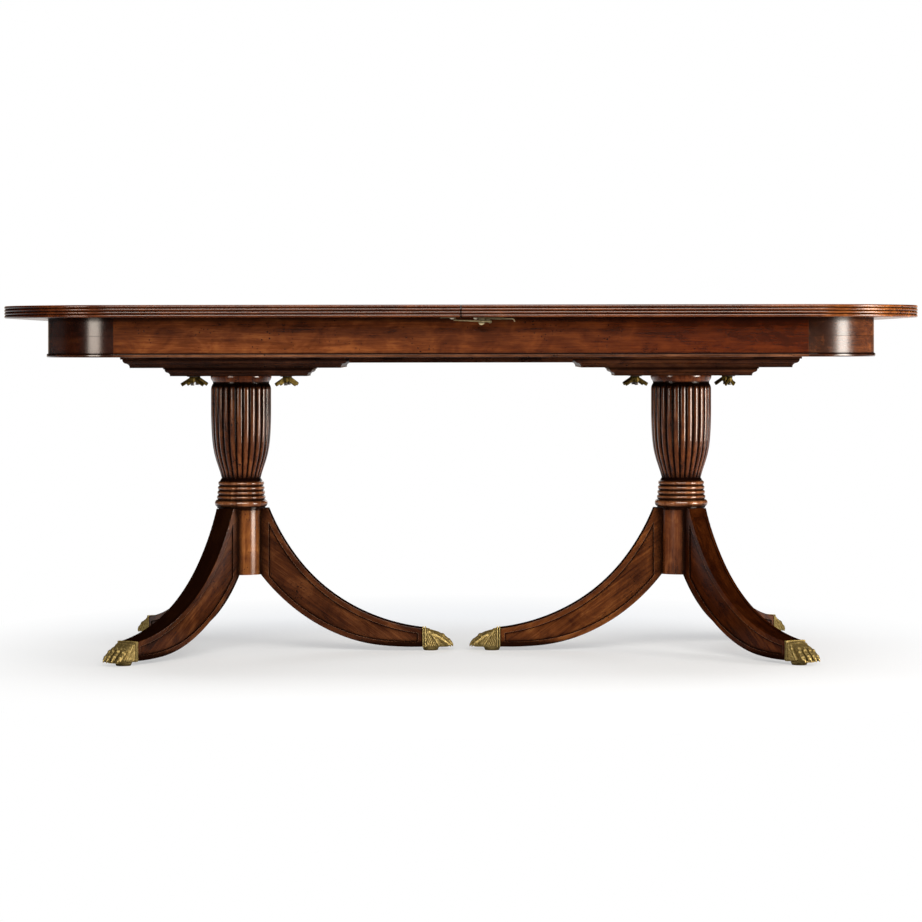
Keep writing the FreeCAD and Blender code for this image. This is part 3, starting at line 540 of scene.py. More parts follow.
        # Each band multiplies in painted light: lit ring crests, collar and hub
        for tone, band in zip(self.painted_light_bands, bands):
            colour = graph.mix(band, colour, tone.tone, "MULTIPLY")
        recess = self._recess(graph, hollows_and_edges["Recess"], spot, bands, sides)
        if self.coat:
            weight = graph.remap(recess, self.coat_cut, 1.0, self.coat,
                                 self.coat * self.glaze_and_shade_coat)
            if self.edge_glaze_and_shade:
                weight = graph.times(weight, sides)
            if self.fade_below:
                weight = graph.times(weight, graph.between(below, self.top_coat, 1.0))
            if self.low_coat:
                foot, share = self.low_coat
                raised = graph.remap(height, foot, foot + self.soft_end, share, 1.0)
                weight = graph.times(weight, raised)
            graph.feed(shader, {"Coat Weight": weight})
        bump = graph.result("Bump", {"Height": pores, "Strength": self.pore_strength,
                                     "Distance": self.pore_depth}, invert=True)
        # Painted shade with the dark polish: the base colour goes to the glaze colour where the recess mask lies
        graph.feed(shader, {
            "Base Color": graph.mix(recess, colour, self.glaze_and_shade), "Normal": bump,
            "Roughness": graph.remap(grain["Smear"], *self.smear_span, *self.roughness),
            "Specular IOR Level": self.sheen, "Coat Roughness": self.coat_roughness,
            "Coat IOR": self.coat_ior})
        return material


@dataclass(frozen=True)
class AgedMetal:
    """A cast or drawn metal with patina in its hollows and bright rubbed edges."""

    name: str
    body: Colour
    bright: Colour
    patina: Colour
    tone_span: Span = (0.35, 0.65)
    rub_amount: float = 0.6
    patina_amount: float = 0.9
    patina_reach: float = 0.006
    patina_bite: float = 0.72
    edge_radius: float = 0.0008
    skin_scale: float = 240.0
    roughness: Span = (0.26, 0.46)
    pit_span: Span = (0.3, 0.7)
    pit_share: float = 0.4
    pit_depth: float = 0.00012
    pit_strength: float = 0.6
    # How much darker the faces that look up become
    upward_darkening: float = 0.0
    upward_span: Span = (0.35, 0.85)
    blotch: float = 0.0
    blotch_span: Span = (0.5, 0.34)
    metallic: float = 1.0
    sheen: float = 0.0
    edge_tint: Colour = WHITE

    def material(self) -> Material:
        """Makes the metal.

        Returns:
            The material.
        """
        if self.name in FINISHED:
            return FINISHED[self.name]
        material, graph, shader = start_material(self.name)
        skin = Effects.place(graph, "cast_skin", {"Vector": graph.coords("Object"),
                                                  "Scale": self.skin_scale})
        hollows_and_edges = Effects.place(graph, "glaze_shade_and_rub", {
            "Reach": self.patina_reach, "Edge": self.edge_radius, "Bite": self.patina_bite})
        tone = graph.remap(skin["Tone"], *self.tone_span)
        colour = graph.mix(tone, self.body, self.bright)
        rub = graph.most(graph.times(hollows_and_edges["Rub"], self.rub_amount), hollows_and_edges["Ridge"])
        colour = graph.mix(rub, colour, self.bright)
        darkening = graph.most(hollows_and_edges["Recess"], hollows_and_edges["Crease"])
        if self.blotch:
            blotch = graph.remap(skin["Tone"], *self.blotch_span, 0.0, self.blotch)
            darkening = graph.most(darkening, blotch)
        # Darker on faces that look up
        if self.upward_darkening:
            up = graph.part(graph.coords("Normal"), "Z")
            facing_up_dark = graph.remap(up, *self.upward_span, 0.0, self.upward_darkening)
            darkening = graph.most(darkening, graph.math("SUBTRACT", facing_up_dark, hollows_and_edges["Ridge"]))
        darkening = graph.times(darkening, self.patina_amount)
        relief = graph.math("ADD", skin["Tone"], graph.times(skin["Pits"], self.pit_share))
        bump = graph.result("Bump", {"Height": relief, "Strength": self.pit_strength,
                                     "Distance": self.pit_depth})
        graph.feed(shader, {
            "Base Color": graph.mix(darkening, colour, self.patina), "Normal": bump,
            "Roughness": graph.remap(skin["Pits"], *self.pit_span, *self.roughness),
            "Metallic": graph.between(darkening, self.metallic, 0.0),
            "Specular IOR Level": self.sheen, "Specular Tint": self.edge_tint})
        return material


MAHOGANY = PolishedWood(
    "mahogany", (0.038, 0.007, 0.0013), (0.128, 0.0315, 0.0064), (0.27, 0.082, 0.0195))
# Top halves: painted shade on the moulded edge, darker still at the left end, and a painted shade line along the
# seam
LEFT_TOP = replace(
    MAHOGANY, name="left_top_mahogany", mottle=0.34, seam=(0.003, 0.001), fade=(-0.8, -0.92),
    fade_below=0.7695, painted_light_factor=(0.4, 0.26, 0.18), edge_shade_tone=(0.68, 0.6, 0.52),
    coat_roughness=0.2, top_coat=0.1)
# Painted light on the moulded edge towards the table's right end
RIGHT_TOP = replace(
    LEFT_TOP, name="right_top_mahogany", fade=(0.7, 0.92), painted_light_factor=(2.9, 4.0, 4.4))
# Painted shade: the rails grow darker towards the table's right end
RAIL_WOOD = replace(
    MAHOGANY, name="rail_mahogany", fade=(-0.35, 0.5), painted_light_factor=(0.44, 0.26, 0.12))
# Shaded copy for the left corners: painted shade
SHADED_CORNER = PolishedWood(
    "dark_mahogany", (0.012, 0.0016, 0.0003), (0.027, 0.0042, 0.0006), (0.056, 0.0125, 0.002),
    stack_joint=0.705, coat_roughness=0.2)
# Copy for the right corners: painted shade near the rail, painted light towards the table's right end
LIT_END_CORNER = PolishedWood(
    "warm_mahogany", (0.013, 0.0028, 0.0008), (0.034, 0.009, 0.0025), (0.08, 0.0245, 0.007),
    stack_joint=0.705, coat_roughness=0.22, fade=(0.775, 0.865), painted_light_factor=(4.0, 4.2, 3.9))
# Lit copy for the side beads: a paler tone as painted highlight, with a dark line of painted shade along the
# bead's top where it meets the rail
LIT_BEAD = PolishedWood(
    "bead_mahogany", (0.032, 0.01, 0.0036), (0.1, 0.036, 0.015), (0.2, 0.078, 0.034),
    coat=0.6, necks=((0.6654, 0.6702, 0.0006),))
# Shaded copy for the end beads: painted shade
SHADED_END_BEAD = replace(
    LIT_BEAD, name="end_bead_mahogany", dark=(0.012, 0.003, 0.001),
    middle=(0.034, 0.009, 0.0026), light=(0.078, 0.023, 0.007), coat=0.9)
# Turned columns: painted light on the ring crests and collar, painted shade on the ring slopes and in neck bands
TURNED = PolishedWood(
    "turned_mahogany", (0.04, 0.0086, 0.0019), (0.126, 0.0332, 0.0082), (0.272, 0.088, 0.0248),
    glaze_and_shade_reach=0.02, glaze_and_shade_bite=0.89, glaze_and_shade_amount=0.97, coat=0.95,
    necks=((0.586, 0.604, 0.008), (0.38, 0.3895, 0.002), (0.3195, 0.325, 0.001)),
    painted_light_bands=(Band(0.321, 0.381, (2.0, 2.7, 4.0), 0.9, 0.92),
           Band(0.603, 0.64, (1.55, 1.3, 1.0), 0.45)))
# Lit copy for the left column: painted light on its hub, with less coat there
LIT_TURNED = replace(
    TURNED, name="light_turned_mahogany", low_coat=(0.32, 0.75),
    painted_light_bands=(*TURNED.painted_light_bands, Band(0.1, 0.322, (1.72, 2.1, 1.8), 1.0)))
# Leg wood: painted shade with glaze on the tops and undersides, and pale rubbed edges that are partly painted
# glints
LEG_WOOD = PolishedWood(
    "leg_mahogany", (0.019, 0.004, 0.0009), (0.06, 0.016, 0.004), (0.146, 0.048, 0.0138),
    glaze_and_shade_reach=0.03, glaze_and_shade_amount=0.95, glaze_and_shade_bite=0.935, coat=0.42, coat_roughness=0.18,
    edge_glaze_and_shade=0.94, glaze_and_shade_coat=0.0, rub_amount=0.6, rub_and_glint_tone=(0.4, 0.26, 0.18),
    edge_radius=0.0012)
# Lit copy for the right inner leg: painted light
LIT_LEG = replace(
    LEG_WOOD, name="light_leg_mahogany", dark=(0.031, 0.0064, 0.0012),
    middle=(0.118, 0.033, 0.0066), light=(0.262, 0.093, 0.022))
# Shaded copy for the right front leg: painted shade, with less of it on its top and underside
SHADED_LEG = replace(
    LEG_WOOD, name="edged_leg_mahogany", dark=(0.017, 0.0026, 0.0004),
    middle=(0.052, 0.0105, 0.0016), light=(0.122, 0.031, 0.006), edge_glaze_and_shade=0.58, coat=0.28)
# The back legs take less painted shade on their tops and undersides
BACK_LEG = replace(LEG_WOOD, name="back_leg_mahogany", edge_glaze_and_shade=0.6)
SHADED = PolishedWood(
    "shaded_mahogany", (0.014, 0.0034, 0.0011), (0.038, 0.0104, 0.0034), (0.08, 0.026, 0.0095),
    coat=0.4, coat_roughness=0.24)
# Lit copy for the right pedestal's boards: painted light
LIT_SHADED = replace(
    SHADED, name="light_shaded_mahogany", dark=(0.02, 0.0046, 0.0011),
    middle=(0.053, 0.0142, 0.0036), light=(0.11, 0.035, 0.01))
INNER_WOOD = PolishedWood(
    "inner_hardwood", (0.11, 0.055, 0.024), (0.23, 0.13, 0.062), (0.36, 0.22, 0.115),
    glaze_and_shade=(0.05, 0.026, 0.012), specks=0.2, sheen=0.2, coat=0.0, roughness=(0.55, 0.72),
    rub_amount=0.1)
BRASS = AgedMetal(
    "cast_brass", (0.285, 0.202, 0.065), (0.7, 0.545, 0.225), (0.014, 0.008, 0.0016),
    patina_reach=0.008, patina_bite=0.6, roughness=(0.34, 0.5), pit_depth=0.0016, upward_darkening=0.8,
    blotch=0.6, edge_tint=(0.45, 0.36, 0.16))
LATCH_BRASS = AgedMetal(
    "latch_brass", (0.15, 0.115, 0.04), (0.62, 0.53, 0.33), (0.016, 0.01, 0.003),
    roughness=(0.3, 0.45), metallic=0.7)
# Shaded copy of the brass for the wing nuts under the table: painted shade
SHADED_BRASS = AgedMetal(
    "shaded_brass", (0.09, 0.064, 0.017), (0.225, 0.168, 0.05), (0.012, 0.007, 0.0015),
    roughness=(0.36, 0.5), pit_depth=0.0005, edge_tint=(0.45, 0.36, 0.16))
# Pale colour for the latch screw heads: a painted glint
GLINT_BRASS = AgedMetal(
    "painted_glint_brass", (0.86, 0.79, 0.62), (0.94, 0.89, 0.76), (0.05, 0.03, 0.008),
    patina_amount=0.2, roughness=(0.3, 0.45), metallic=0.3)
STEEL = AgedMetal(
    "dull_steel", (0.085, 0.078, 0.07), (0.22, 0.21, 0.195), (0.015, 0.013, 0.011),
    skin_scale=400.0, roughness=(0.38, 0.55))


def coat(node: str, material: Material) -> None:
    """Gives a node of the frame its only material."""
    mesh = frame["nodes"][node].data
    mesh.materials.clear()
    mesh.materials.append(material)
    LOG.info("%s wears %s", node, material.name)


def add_object(name: str, data: bpy.types.ID) -> bpy.types.Object:
    """Adds an object to the scene and returns it."""
    added = bpy.data.objects.new(name, data)
    bpy.context.scene.collection.objects.link(added)
    return added


def add_piece(name: str, mesh: Mesh, body: str, node: str, place: Matrix) -> None:
    """Adds a modelled piece, which may stand for a node of the frame.

    Args:
        name: The piece's name.
        mesh: Its mesh, which several pieces may share.
        body: The body that it moves with.
        node: The node that it stands for, or nothing.
        place: Its place in the frame.
    """
    piece = add_object(name, mesh)
    piece.matrix_world = place
    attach(piece, body)
    if node:
        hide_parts(node)
    LOG.info("%s rides on %s", name, body)


class Clay:
    """A sculpting mesh: rough forms are laid into each other, then made into one mesh."""

    BALL_DIVISIONS = 3
    SMOOTHING = 0.5

    def __init__(self) -> None:
        """Starts with nothing."""
        self.mesh = bmesh.new()

    def ball(self, centre: Vector, radii: Vector, tilt: float = 0.0) -> None:
        """Adds an egg.

        Args:
            centre: Its middle.
            radii: Its half sizes.
            tilt: Its turn about Y, in degrees.
        """
        place = Matrix.Translation(centre) @ Matrix.Rotation(math.radians(tilt), 4, "Y")
        place = place @ Matrix.Diagonal((*radii, 1.0))
        bmesh.ops.create_icosphere(self.mesh, subdivisions=self.BALL_DIVISIONS, radius=1.0,
                                   matrix=place)

    def roll(self, points: list[Vector], radii: list[float], steps: int) -> None:
        """Adds a roll of overlapping balls along a row of points.

        Args:
            points: The points along the middle of the roll.
            radii: Its radius at each point.
            steps: How many balls each stretch takes.
        """
        for start, end, thick, thin in zip(points, points[1:], radii, radii[1:]):
            for index in range(steps + 1):
                share = index / steps
                radius = thick + (thin - thick) * share
                self.ball(start.lerp(end, share), Vector((radius, radius, radius)))

    def loft(self, rings: list[list[Vector]]) -> None:
        """Adds a closed skin through rings of points, with flat ends."""
        rows = [[self.mesh.verts.new(point) for point in ring] for ring in rings]
        count = len(rows[0])
        for near, far in zip(rows, rows[1:]):
            for index in range(count):
                after = (index + 1) % count
                self.mesh.faces.new((near[index], near[after], far[after], far[index]))
        self.mesh.faces.new(rows[0][::-1])
        self.mesh.faces.new(rows[-1])

    def pour(self, mesh: Mesh) -> Mesh:
        """Puts the forms as they are into a mesh and returns it."""
        bmesh.ops.recalc_face_normals(self.mesh, faces=self.mesh.faces)
        self.mesh.to_mesh(mesh)
        self.mesh.free()
        return mesh

    def fused(self, name: str, grain: float, passes: int) -> Mesh:
        """Fuses the forms into one smooth skin.

        Args:
            name: The mesh's name.
            grain: The size of the skin's cells, in metres.
            passes: How often the skin is smoothed.

        Returns:
            The finished mesh.
        """
        rough = self.pour(bpy.data.meshes.new(name + "_rough"))
        holder = add_object(name + "_holder", rough)
        skin = holder.modifiers.new("skin", "REMESH")
        skin.mode = "VOXEL"
        skin.voxel_size = grain
        smooth = holder.modifiers.new("smooth", "SMOOTH")
        smooth.factor = self.SMOOTHING
        smooth.iterations = passes
        graph = bpy.context.evaluated_depsgraph_get()
        mesh = bpy.data.meshes.new_from_object(holder.evaluated_get(graph))
        mesh.name = name
        bpy.data.objects.remove(holder)
        bpy.data.meshes.remove(rough)
        mesh.shade_smooth()
        return mesh


def crease(mesh: Mesh, angle: float) -> None:
    """Shades a mesh smooth, but for the edges that turn more than an angle in degrees."""
    mesh.shade_smooth()
    mesh.set_sharp_from_angle(angle=math.radians(angle))


def round_ring(radius: float, z: float, count: int) -> list[Vector]:
    """A level ring of points about the upright axis."""
    turns = [math.tau * index / count for index in range(count)]
    return [Vector((radius * math.cos(turn), radius * math.sin(turn), z)) for turn in turns]


def box_ring(x_high: float, x_low: float, half: float, low: float, high: float, corner: float,
             ) -> list[Vector]:
    """A rectangle with round corners across X, which may lean forwards at its bottom.

    Args:
        x_high: Its place along X at the top.
        x_low: Its place along X at the bottom.
        half: Its half width.
        low: Its lowest height.
        high: Its highest height.
        corner: The radius of its corners.

    Returns:
        The ring's points.
    """
    steps = 5
    points = []
    for sy, sz, first in ((1, 1, 0), (-1, 1, 90), (-1, -1, 180), (1, -1, 270)):
        for index in range(steps):
            angle = math.radians(first + 90 * index / (steps - 1))
            y = sy * (half - corner) + corner * math.cos(angle)
            z = (high if sz > 0 else low) - sz * corner + corner * math.sin(angle)
            lean = (high - z) / (high - low)
            points.append(Vector((x_high + (x_low - x_high) * lean, y, z)))
    return points


@dataclass
class PawFoot:
    """The cast lion's paw on the end of a leg, made along +X from the leg's end.

    The tables are in millimetres. Rows of back, collar_steps, instep and toe_radii begin with the
    place along the paw, then give the height, how proud the collar stands, the half width and
    the depth below the back, and the radius. cuff_rings: place at the top and at the bottom, how
    much wider and lower, and the corner. cuff_roll: place and radius. toe_places: place across
    and how far the toe stays behind. knuckles: point of the toe, way from it and half sizes.
    claw: place behind the tip, height and radius.
    """

    sole: float = 7.9 * MM
    collar_high: float = 51.4 * MM
    collar_half: float = 25.4 * MM
    collar_drop: float = 0.3 * MM
    collar_corner: float = 1.6 * MM
    collar_crease: float = 38.0
    length: float = 69.2 * MM
    cell: float = 0.7 * MM
    smoothing: int = 2
    cuff_inset: float = 1.6 * MM
    cuff_top: float = 48.4 * MM
    cuff_reach: float = 39.0 * MM
    cuff_slant: float = 26.0 * MM
    cuff_front: Span = (1.2 * MM, 6.5 * MM)
    hair_pitch: float = 4.4 * MM
    hair_depth: float = 1.3 * MM
    hair_start: float = 7.4 * MM
    hair_end: float = 1.5 * MM
    hair_fade: float = 2.5 * MM
    hair_wave: float = 0.9 * MM
    hair_lean: float = 0.3
    wave_up: float = 6.0 * MM
    wave_along: float = 9.0 * MM
    under_facing: float = -0.5
    side_facing: float = 0.6
    instep_corner: float = 9.0
    toe_rise: float = 1.0
    toe_droop: float = 5.5
    toe_gather: float = 0.82
    knuckle_tilt: float = 30.0
    cuff_balls: int = 14
    toe_balls: int = 7
    claw_balls: int = 8
    back: tuple[Span, ...] = (
        (0.0, 49.0), (18.0, 46.4), (30.0, 42.9), (36.0, 40.8), (44.0, 35.2), (52.0, 29.4),
        (60.0, 22.8), (66.0, 16.2))
    collar_steps: tuple[Span, ...] = (
        (0.0, -0.4), (0.3, 0.0), (1.6, 0.0), (1.9, -0.3), (2.0, -3.0), (4.8, -3.0), (4.9, -0.3),
        (5.2, 0.0), (6.6, 0.0), (6.9, -0.3), (7.0, -2.6), (8.2, -2.6))
    cuff_rings: tuple[tuple[float, ...], ...] = (
        (6.6, 6.6, 0.0, 0.0, 5.0), (9.5, 21.0, 0.4, 0.5, 5.0))
    cuff_roll: tuple[tuple[float, ...], ...] = (
        (15.5, 0.0, 46.4, 1.5), (14.5, 17.8, 44.6, 2.0), (19.5, 22.9, 37.0, 2.4),
        (36.5, 23.3, 12.5, 1.9))
    instep: tuple[Triple, ...] = (
        (8.0, 22.8, 1.0), (20.0, 22.8, 1.2), (35.5, 22.2, 1.4), (39.5, 21.6, 4.4),
        (46.0, 20.4, 7.0), (52.0, 18.6, 8.6), (57.0, 17.0, 9.2))
    toe_places: tuple[Span, ...] = ((-19.2, 4.5), (-6.6, 0.0), (6.6, 0.0), (19.2, 4.5))
    toe_radii: tuple[Span, ...] = (
        (22.0, 4.0), (33.0, 5.0), (43.0, 5.9), (51.0, 5.9), (57.0, 5.6), (61.5, 4.9))
    knuckles: tuple[tuple[int, Triple, Triple], ...] = (
        (2, (0.5, 0.0, 0.8), (7.2, 6.0, 7.0)), (4, (0.6, 0.0, 0.5), (5.4, 6.0, 5.8)))
    claw: tuple[Triple, ...] = ((8.0, 16.6, 3.4), (3.4, 13.6, 2.5), (1.1, 9.4, 1.1))

    def back_height(self, x: float) -> float:
        """The height of the paw's back at a place along it, both in millimetres."""
        for (start, high), (end, low) in zip(self.back, self.back[1:]):
            if x <= end:
                return high + (low - high) * (x - start) / (end - start)
        return self.back[-1][1]

    def cuff_edge(self, height: float) -> float:
        """How far along the foot the cuff of hair reaches at a height."""
        share = (height - self.sole) / (self.collar_high - self.sole)
        return self.cuff_reach - self.cuff_slant * share

    def _collar(self, mesh: Mesh) -> None:
        """Adds the two crisp fillets where the casting meets the wood."""
        band = Clay()
        band.mesh.from_mesh(mesh)
        band.loft([box_ring(x * MM, x * MM, self.collar_half + proud * MM,
                            self.sole - self.collar_drop, self.collar_high + proud * MM,
                            self.collar_corner) for x, proud in self.collar_steps])
        crease(band.pour(mesh), self.collar_crease)

    def _cuff(self, clay: Clay) -> None:
        """Adds the cuff of hair, whose rolled front edge slants down and forwards."""
        half = self.collar_half - self.cuff_inset
        top = self.cuff_top
        rings = [box_ring(high * MM, low * MM, half + wider * MM, self.sole, top - lower * MM,
                          corner * MM) for high, low, wider, lower, corner in self.cuff_rings]
        lower, corner = self.cuff_front
        rings.append(box_ring(self.cuff_edge(top), self.cuff_edge(self.sole), half, self.sole,
                              top - lower, corner))
        clay.loft(rings)
        radii = [row[-1] * MM for row in self.cuff_roll]
        for side in (-1, 1):
            points = [Vector((x, side * y, z)) * MM for x, y, z, _ in self.cuff_roll]
            clay.roll(points, radii, self.cuff_balls)

    def _toes(self, clay: Clay) -> None:
        """Adds the instep and four toes with knuckles and claws."""
        clay.loft([box_ring(x * MM, x * MM, half * MM, self.sole,
                            (self.back_height(x) - sunk) * MM, self.instep_corner * MM)
                   for x, half, sunk in self.instep])
        widest = self.toe_places[-1][0]
        end = self.toe_radii[-1][0]
        radii = [radius * MM for _, radius in self.toe_radii]
        for y, back in self.toe_places:
            points = []
            for x, radius in self.toe_radii:
                along = x / end
                drop = radius + self.toe_droop * (abs(y) / widest) * (1.0 - along / 2)
                height = max(self.back_height(x) - drop + self.toe_rise, self.sole / MM + radius)
                spread = self.toe_gather + (1.0 - self.toe_gather) * along
                points.append(Vector((x - back * along, y * spread, height)) * MM)
            clay.roll(points, radii, self.toe_balls)
            for index, shift, sizes in self.knuckles:
                centre = points[index] + Vector(shift) * MM
                clay.ball(centre, Vector(sizes) * MM, self.knuckle_tilt)
            tip = self.length / MM - back
            clay.roll([Vector((tip - behind, y, z)) * MM for behind, z, _ in self.claw],
                      [row[-1] * MM for row in self.claw], self.claw_balls)

    def _comb(self, mesh: Mesh) -> None:
        """Combs strands of hair into the cuff."""
        normals = [vertex.normal.copy() for vertex in mesh.vertices]
        for vertex, normal in zip(mesh.vertices, normals):
            x, y, z = vertex.co
            inside = self.cuff_edge(z) - x - self.hair_end
            if x < self.hair_start or inside < 0.0 or normal.z < self.under_facing:
                continue
            wave = self.hair_wave * math.sin(z / self.wave_up + x / self.wave_along)
            across = y + wave
            if abs(normal.y) > self.side_facing:
                across = x + self.hair_lean * z + wave
            fade = min(1.0, inside / self.hair_fade)
            groove = (1.0 + math.cos(math.tau * across / self.hair_pitch)) / 2
            vertex.co -= normal * self.hair_depth * groove * fade

    def mesh(self) -> Mesh:
        """Sculpts the paw.

        Returns:
            The finished mesh, with its material.
        """
        clay = Clay()
        self._cuff(clay)
        self._toes(clay)
        mesh = clay.fused("lion_paw", self.cell, self.smoothing)
        self._comb(mesh)
        self._collar(mesh)
        mesh.materials.append(BRASS.material())
        return mesh


@dataclass
class WingNut:
    """A brass wing nut with two drooping wings, made about +Z below its washer."""

    top_radius: float = 7.0 * MM
    tip_radius: float = 5.6 * MM
    height: float = 13.0 * MM
    rim: float = 1.8 * MM
    chamfer: float = 0.8 * MM
    tip_chamfer: float = 1.2 * MM
    reach: float = 24.9 * MM
    start: float = 2.2 * MM
    droop: float = 16.0 * MM
    wing_high: float = 8.4 * MM
    wing_thick: float = 4.8 * MM
    squareness: float = 0.5
    cell: float = 0.5 * MM
    smoothing: int = 2
    facets: int = 32
    swells: tuple[Span, ...] = ((0.0, 0.96), (0.45, 0.95), (0.85, 1.0), (0.96, 0.97), (1.0, 0.84))

    def _bar(self, end: int) -> list[list[Vector]]:
        """The rings along one wing, a bar with rounded edges.

        Args:
            end: Which way it points along X, 1 or -1.

        Returns:
            The rings, from the hub outwards.
        """
        slope = math.atan2(self.droop, self.reach)
        upward = Vector((end * math.sin(slope), 0.0, math.cos(slope)))
        rings = []
        for share, swell in self.swells:
            centre = Vector((end * self.reach * share, 0.0, -self.start - self.droop * share))
            ring = []
            for point in round_ring(1.0, 0.0, self.facets):
                wide = math.copysign(abs(point.x) ** self.squareness, point.x)
                tall = math.copysign(abs(point.y) ** self.squareness, point.y)
                ring.append(centre + Vector((0.0, wide * self.wing_thick / 2 * swell, 0.0))
                            + upward * (tall * self.wing_high / 2 * swell))
            rings.append(ring)
        return rings

    def mesh(self) -> Mesh:
        """Sculpts the nut.

        Returns:
            The finished mesh, with its material.
        """
        clay = Clay()
        profile = ((0.0, self.top_radius), (-self.rim, self.top_radius),
                   (-self.rim - self.chamfer, self.top_radius - self.chamfer),
                   (-self.height + self.tip_chamfer, self.tip_radius),
                   (-self.height, self.tip_radius - self.tip_chamfer))
        clay.loft([round_ring(radius, z, self.facets) for z, radius in profile])
        for end in (-1, 1):
            clay.loft(self._bar(end))
        mesh = clay.fused("brass_wing_nut", self.cell, self.smoothing)
        mesh.materials.append(SHADED_BRASS.material())
        return mesh

    @staticmethod
    def lay(node: str) -> Matrix:
        """Finds how a nut of the frame stands.

        Args:
            node: The nut's node.

        Returns:
            The place of its washer face, turned with its wings.
        """
        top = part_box(node)[1].z
        axis = next(Vector(joint["pos_m"]) for joint in frame["joints"] if joint["child"] == node)
        spread = [vertex.co - axis for vertex in frame["nodes"][node].data.vertices]
        across = sum(offset.x * offset.y for offset in spread)
        skew = sum(offset.x ** 2 - offset.y ** 2 for offset in spread)
        turn = math.atan2(2 * across, skew) / 2
        return Matrix.Translation((axis.x, axis.y, top)) @ Matrix.Rotation(turn, 4, "Z")


@dataclass
class TableTop:
    """The two sliding halves with what is screwed below them."""

    seeds: Span = (0.3, 2.1)
    dowel_seed: float = 0.0
    seam_seed: float = 3.0
    seam_half: float = 0.2 * MM
    seam_inset: float = 4.0 * MM
    seam_rows: tuple[Span, ...] = (
        (-1.0, 3.0), (-0.998, 2.2), (0.0, 2.0), (0.998, 2.2), (1.0, 3.0))

    def dress(self) -> None:
        """Finishes the halves and their bearers."""
        for side, seed, finish in zip(SIDES, self.seeds, (LEFT_TOP, RIGHT_TOP)):
            coat(side + "_top_panel", finish.material(*Grain.ALONG.value, seed))
            coat(side + "_bearers", INNER_WOOD.material(*Grain.ALONG.value, seed))
            coat(side + "_top_screws", STEEL.material())
        coat("edge_dowels", INNER_WOOD.material(*Grain.ALONG.value, self.dowel_seed))

    def fill_seam(self) -> None:
        """Runs a dark strip of painted shade down the seam, which keeps light from shining through it."""
        low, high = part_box("right_top_panel")
        strip = Clay()
        rings = []
        for share, inset in self.seam_rows:
            y = share * (high.y - self.seam_inset)
            ring = box_ring(y, y, self.seam_half, low.z + inset * MM, high.z - inset * MM,
                            self.seam_half / 2)
            rings.append([Vector((point.y, point.x, point.z)) for point in ring])
        strip.loft(rings)
        mesh = strip.pour(bpy.data.meshes.new("seam_shade_strip"))
        mesh.materials.append(SHADED.material(*Grain.ACROSS.value, self.seam_seed))
        add_piece("seam_shade_strip", mesh, "right_top", "", Matrix.Identity(4))


@dataclass
class Apron:
    """The beaded apron round the frame, with the rails inside it."""

    seeds: Span = (4.4, 5.7)
    corner_seed: float = 7.0
    bead_seed: float = 9.4
    inner_seed: float = 1.0

    def dress(self) -> None:
        """Finishes the rails, corners, beads and inner frame."""
        for row, seed in zip(ROWS, self.seeds):
            coat(row + "_apron_rail", RAIL_WOOD.material(*Grain.ALONG.value, seed))
            coat(row + "_guide", INNER_WOOD.material(*Grain.ALONG.value, seed))
        for side, seed in zip(SIDES, self.seeds):
            coat(side + "_apron_rail", MAHOGANY.material(*Grain.ACROSS.value, seed))
        for row, side in product(ROWS, SIDES):
            rising = (row == "front") == (side == "right")
            grain = Grain.RISING_DIAGONAL if rising else Grain.FALLING_DIAGONAL
            # Left corners take painted shade, right corners painted light
            finish = SHADED_CORNER if side == "left" else LIT_END_CORNER
            coat(f"{row}_{side}_corner", finish.material(*grain.value, self.corner_seed))
        for node, finish in (("rail_beads", LIT_BEAD), ("end_beads", SHADED_END_BEAD)):
            coat(node, finish.material(*Grain.ALONG.value, self.bead_seed))
        for node in ("cross_rails", "bearer_stops", "apron_dowels"):
            coat(node, INNER_WOOD.material(*Grain.ACROSS.value, self.inner_seed))
        coat("frame_screws", STEEL.material())


@dataclass
class Pedestal:
    """One pedestal: its boards, column, legs, paws and wing nuts."""

    side: str
    seed: float
    boards: PolishedWood
    column: PolishedWood
    legs: tuple[PolishedWood, PolishedWood, PolishedWood]
    leg_slope: float = 36.0
    pad_setback: float = 18.0 * MM

    def axis(self) -> Vector:
        """The point on the floor below the column."""
        low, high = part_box(self.side + "_column")
        return Vector(((low.x + high.x) / 2, (low.y + high.y) / 2, 0.0))

    def leg_run(self, leg: str) -> Vector:
        """The way from the column's axis to the middle of a leg's pad."""
        mounts = {mount["name"]: mount["pos_m"] for mount in frame["record"]["mounts"]}
        return Vector(mounts[f"{self.side}_{leg}_foot"]) - self.axis()

    def dress(self) -> None:
        """Finishes the wooden pieces."""
        for board in ("_plinth_board", "_head_board"):
            coat(self.side + board, self.boards.material(*Grain.ALONG.value, self.seed))
        coat(self.side + "_column", self.column.material(*Grain.UPRIGHT.value, self.seed))
        for leg, finish in zip(LEGS, self.legs):
            run = self.leg_run(leg)
            turn = math.degrees(math.atan2(run.y, run.x))
            coat(f"{self.side}_{leg}_leg", finish.material(turn, self.leg_slope, self.seed))

    def fit_paws(self, mesh: Mesh) -> None:
        """Puts a paw on each leg's end."""
        for leg in LEGS:
            run = self.leg_run(leg)
            turn = Matrix.Rotation(math.atan2(run.y, run.x), 4, "Z")
            heel = self.axis() + run.normalized() * (run.length - self.pad_setback)
            node = f"{self.side}_{leg}_paw"
            add_piece(node.replace("paw", "lion_paw"), mesh, "frame", node,
                      Matrix.Translation(heel) @ turn)

    def fit_wing_nuts(self, mesh: Mesh) -> None:
        """Puts a wing nut on each of the pedestal's bolts."""
        for row, end in product(ROWS, ("outer", "inner")):
            node = f"{self.side}_{row}_{end}_wing_nut"
            add_piece(node.replace("wing_nut", "brass_nut"), mesh, node, node,
                      WingNut.lay(node))


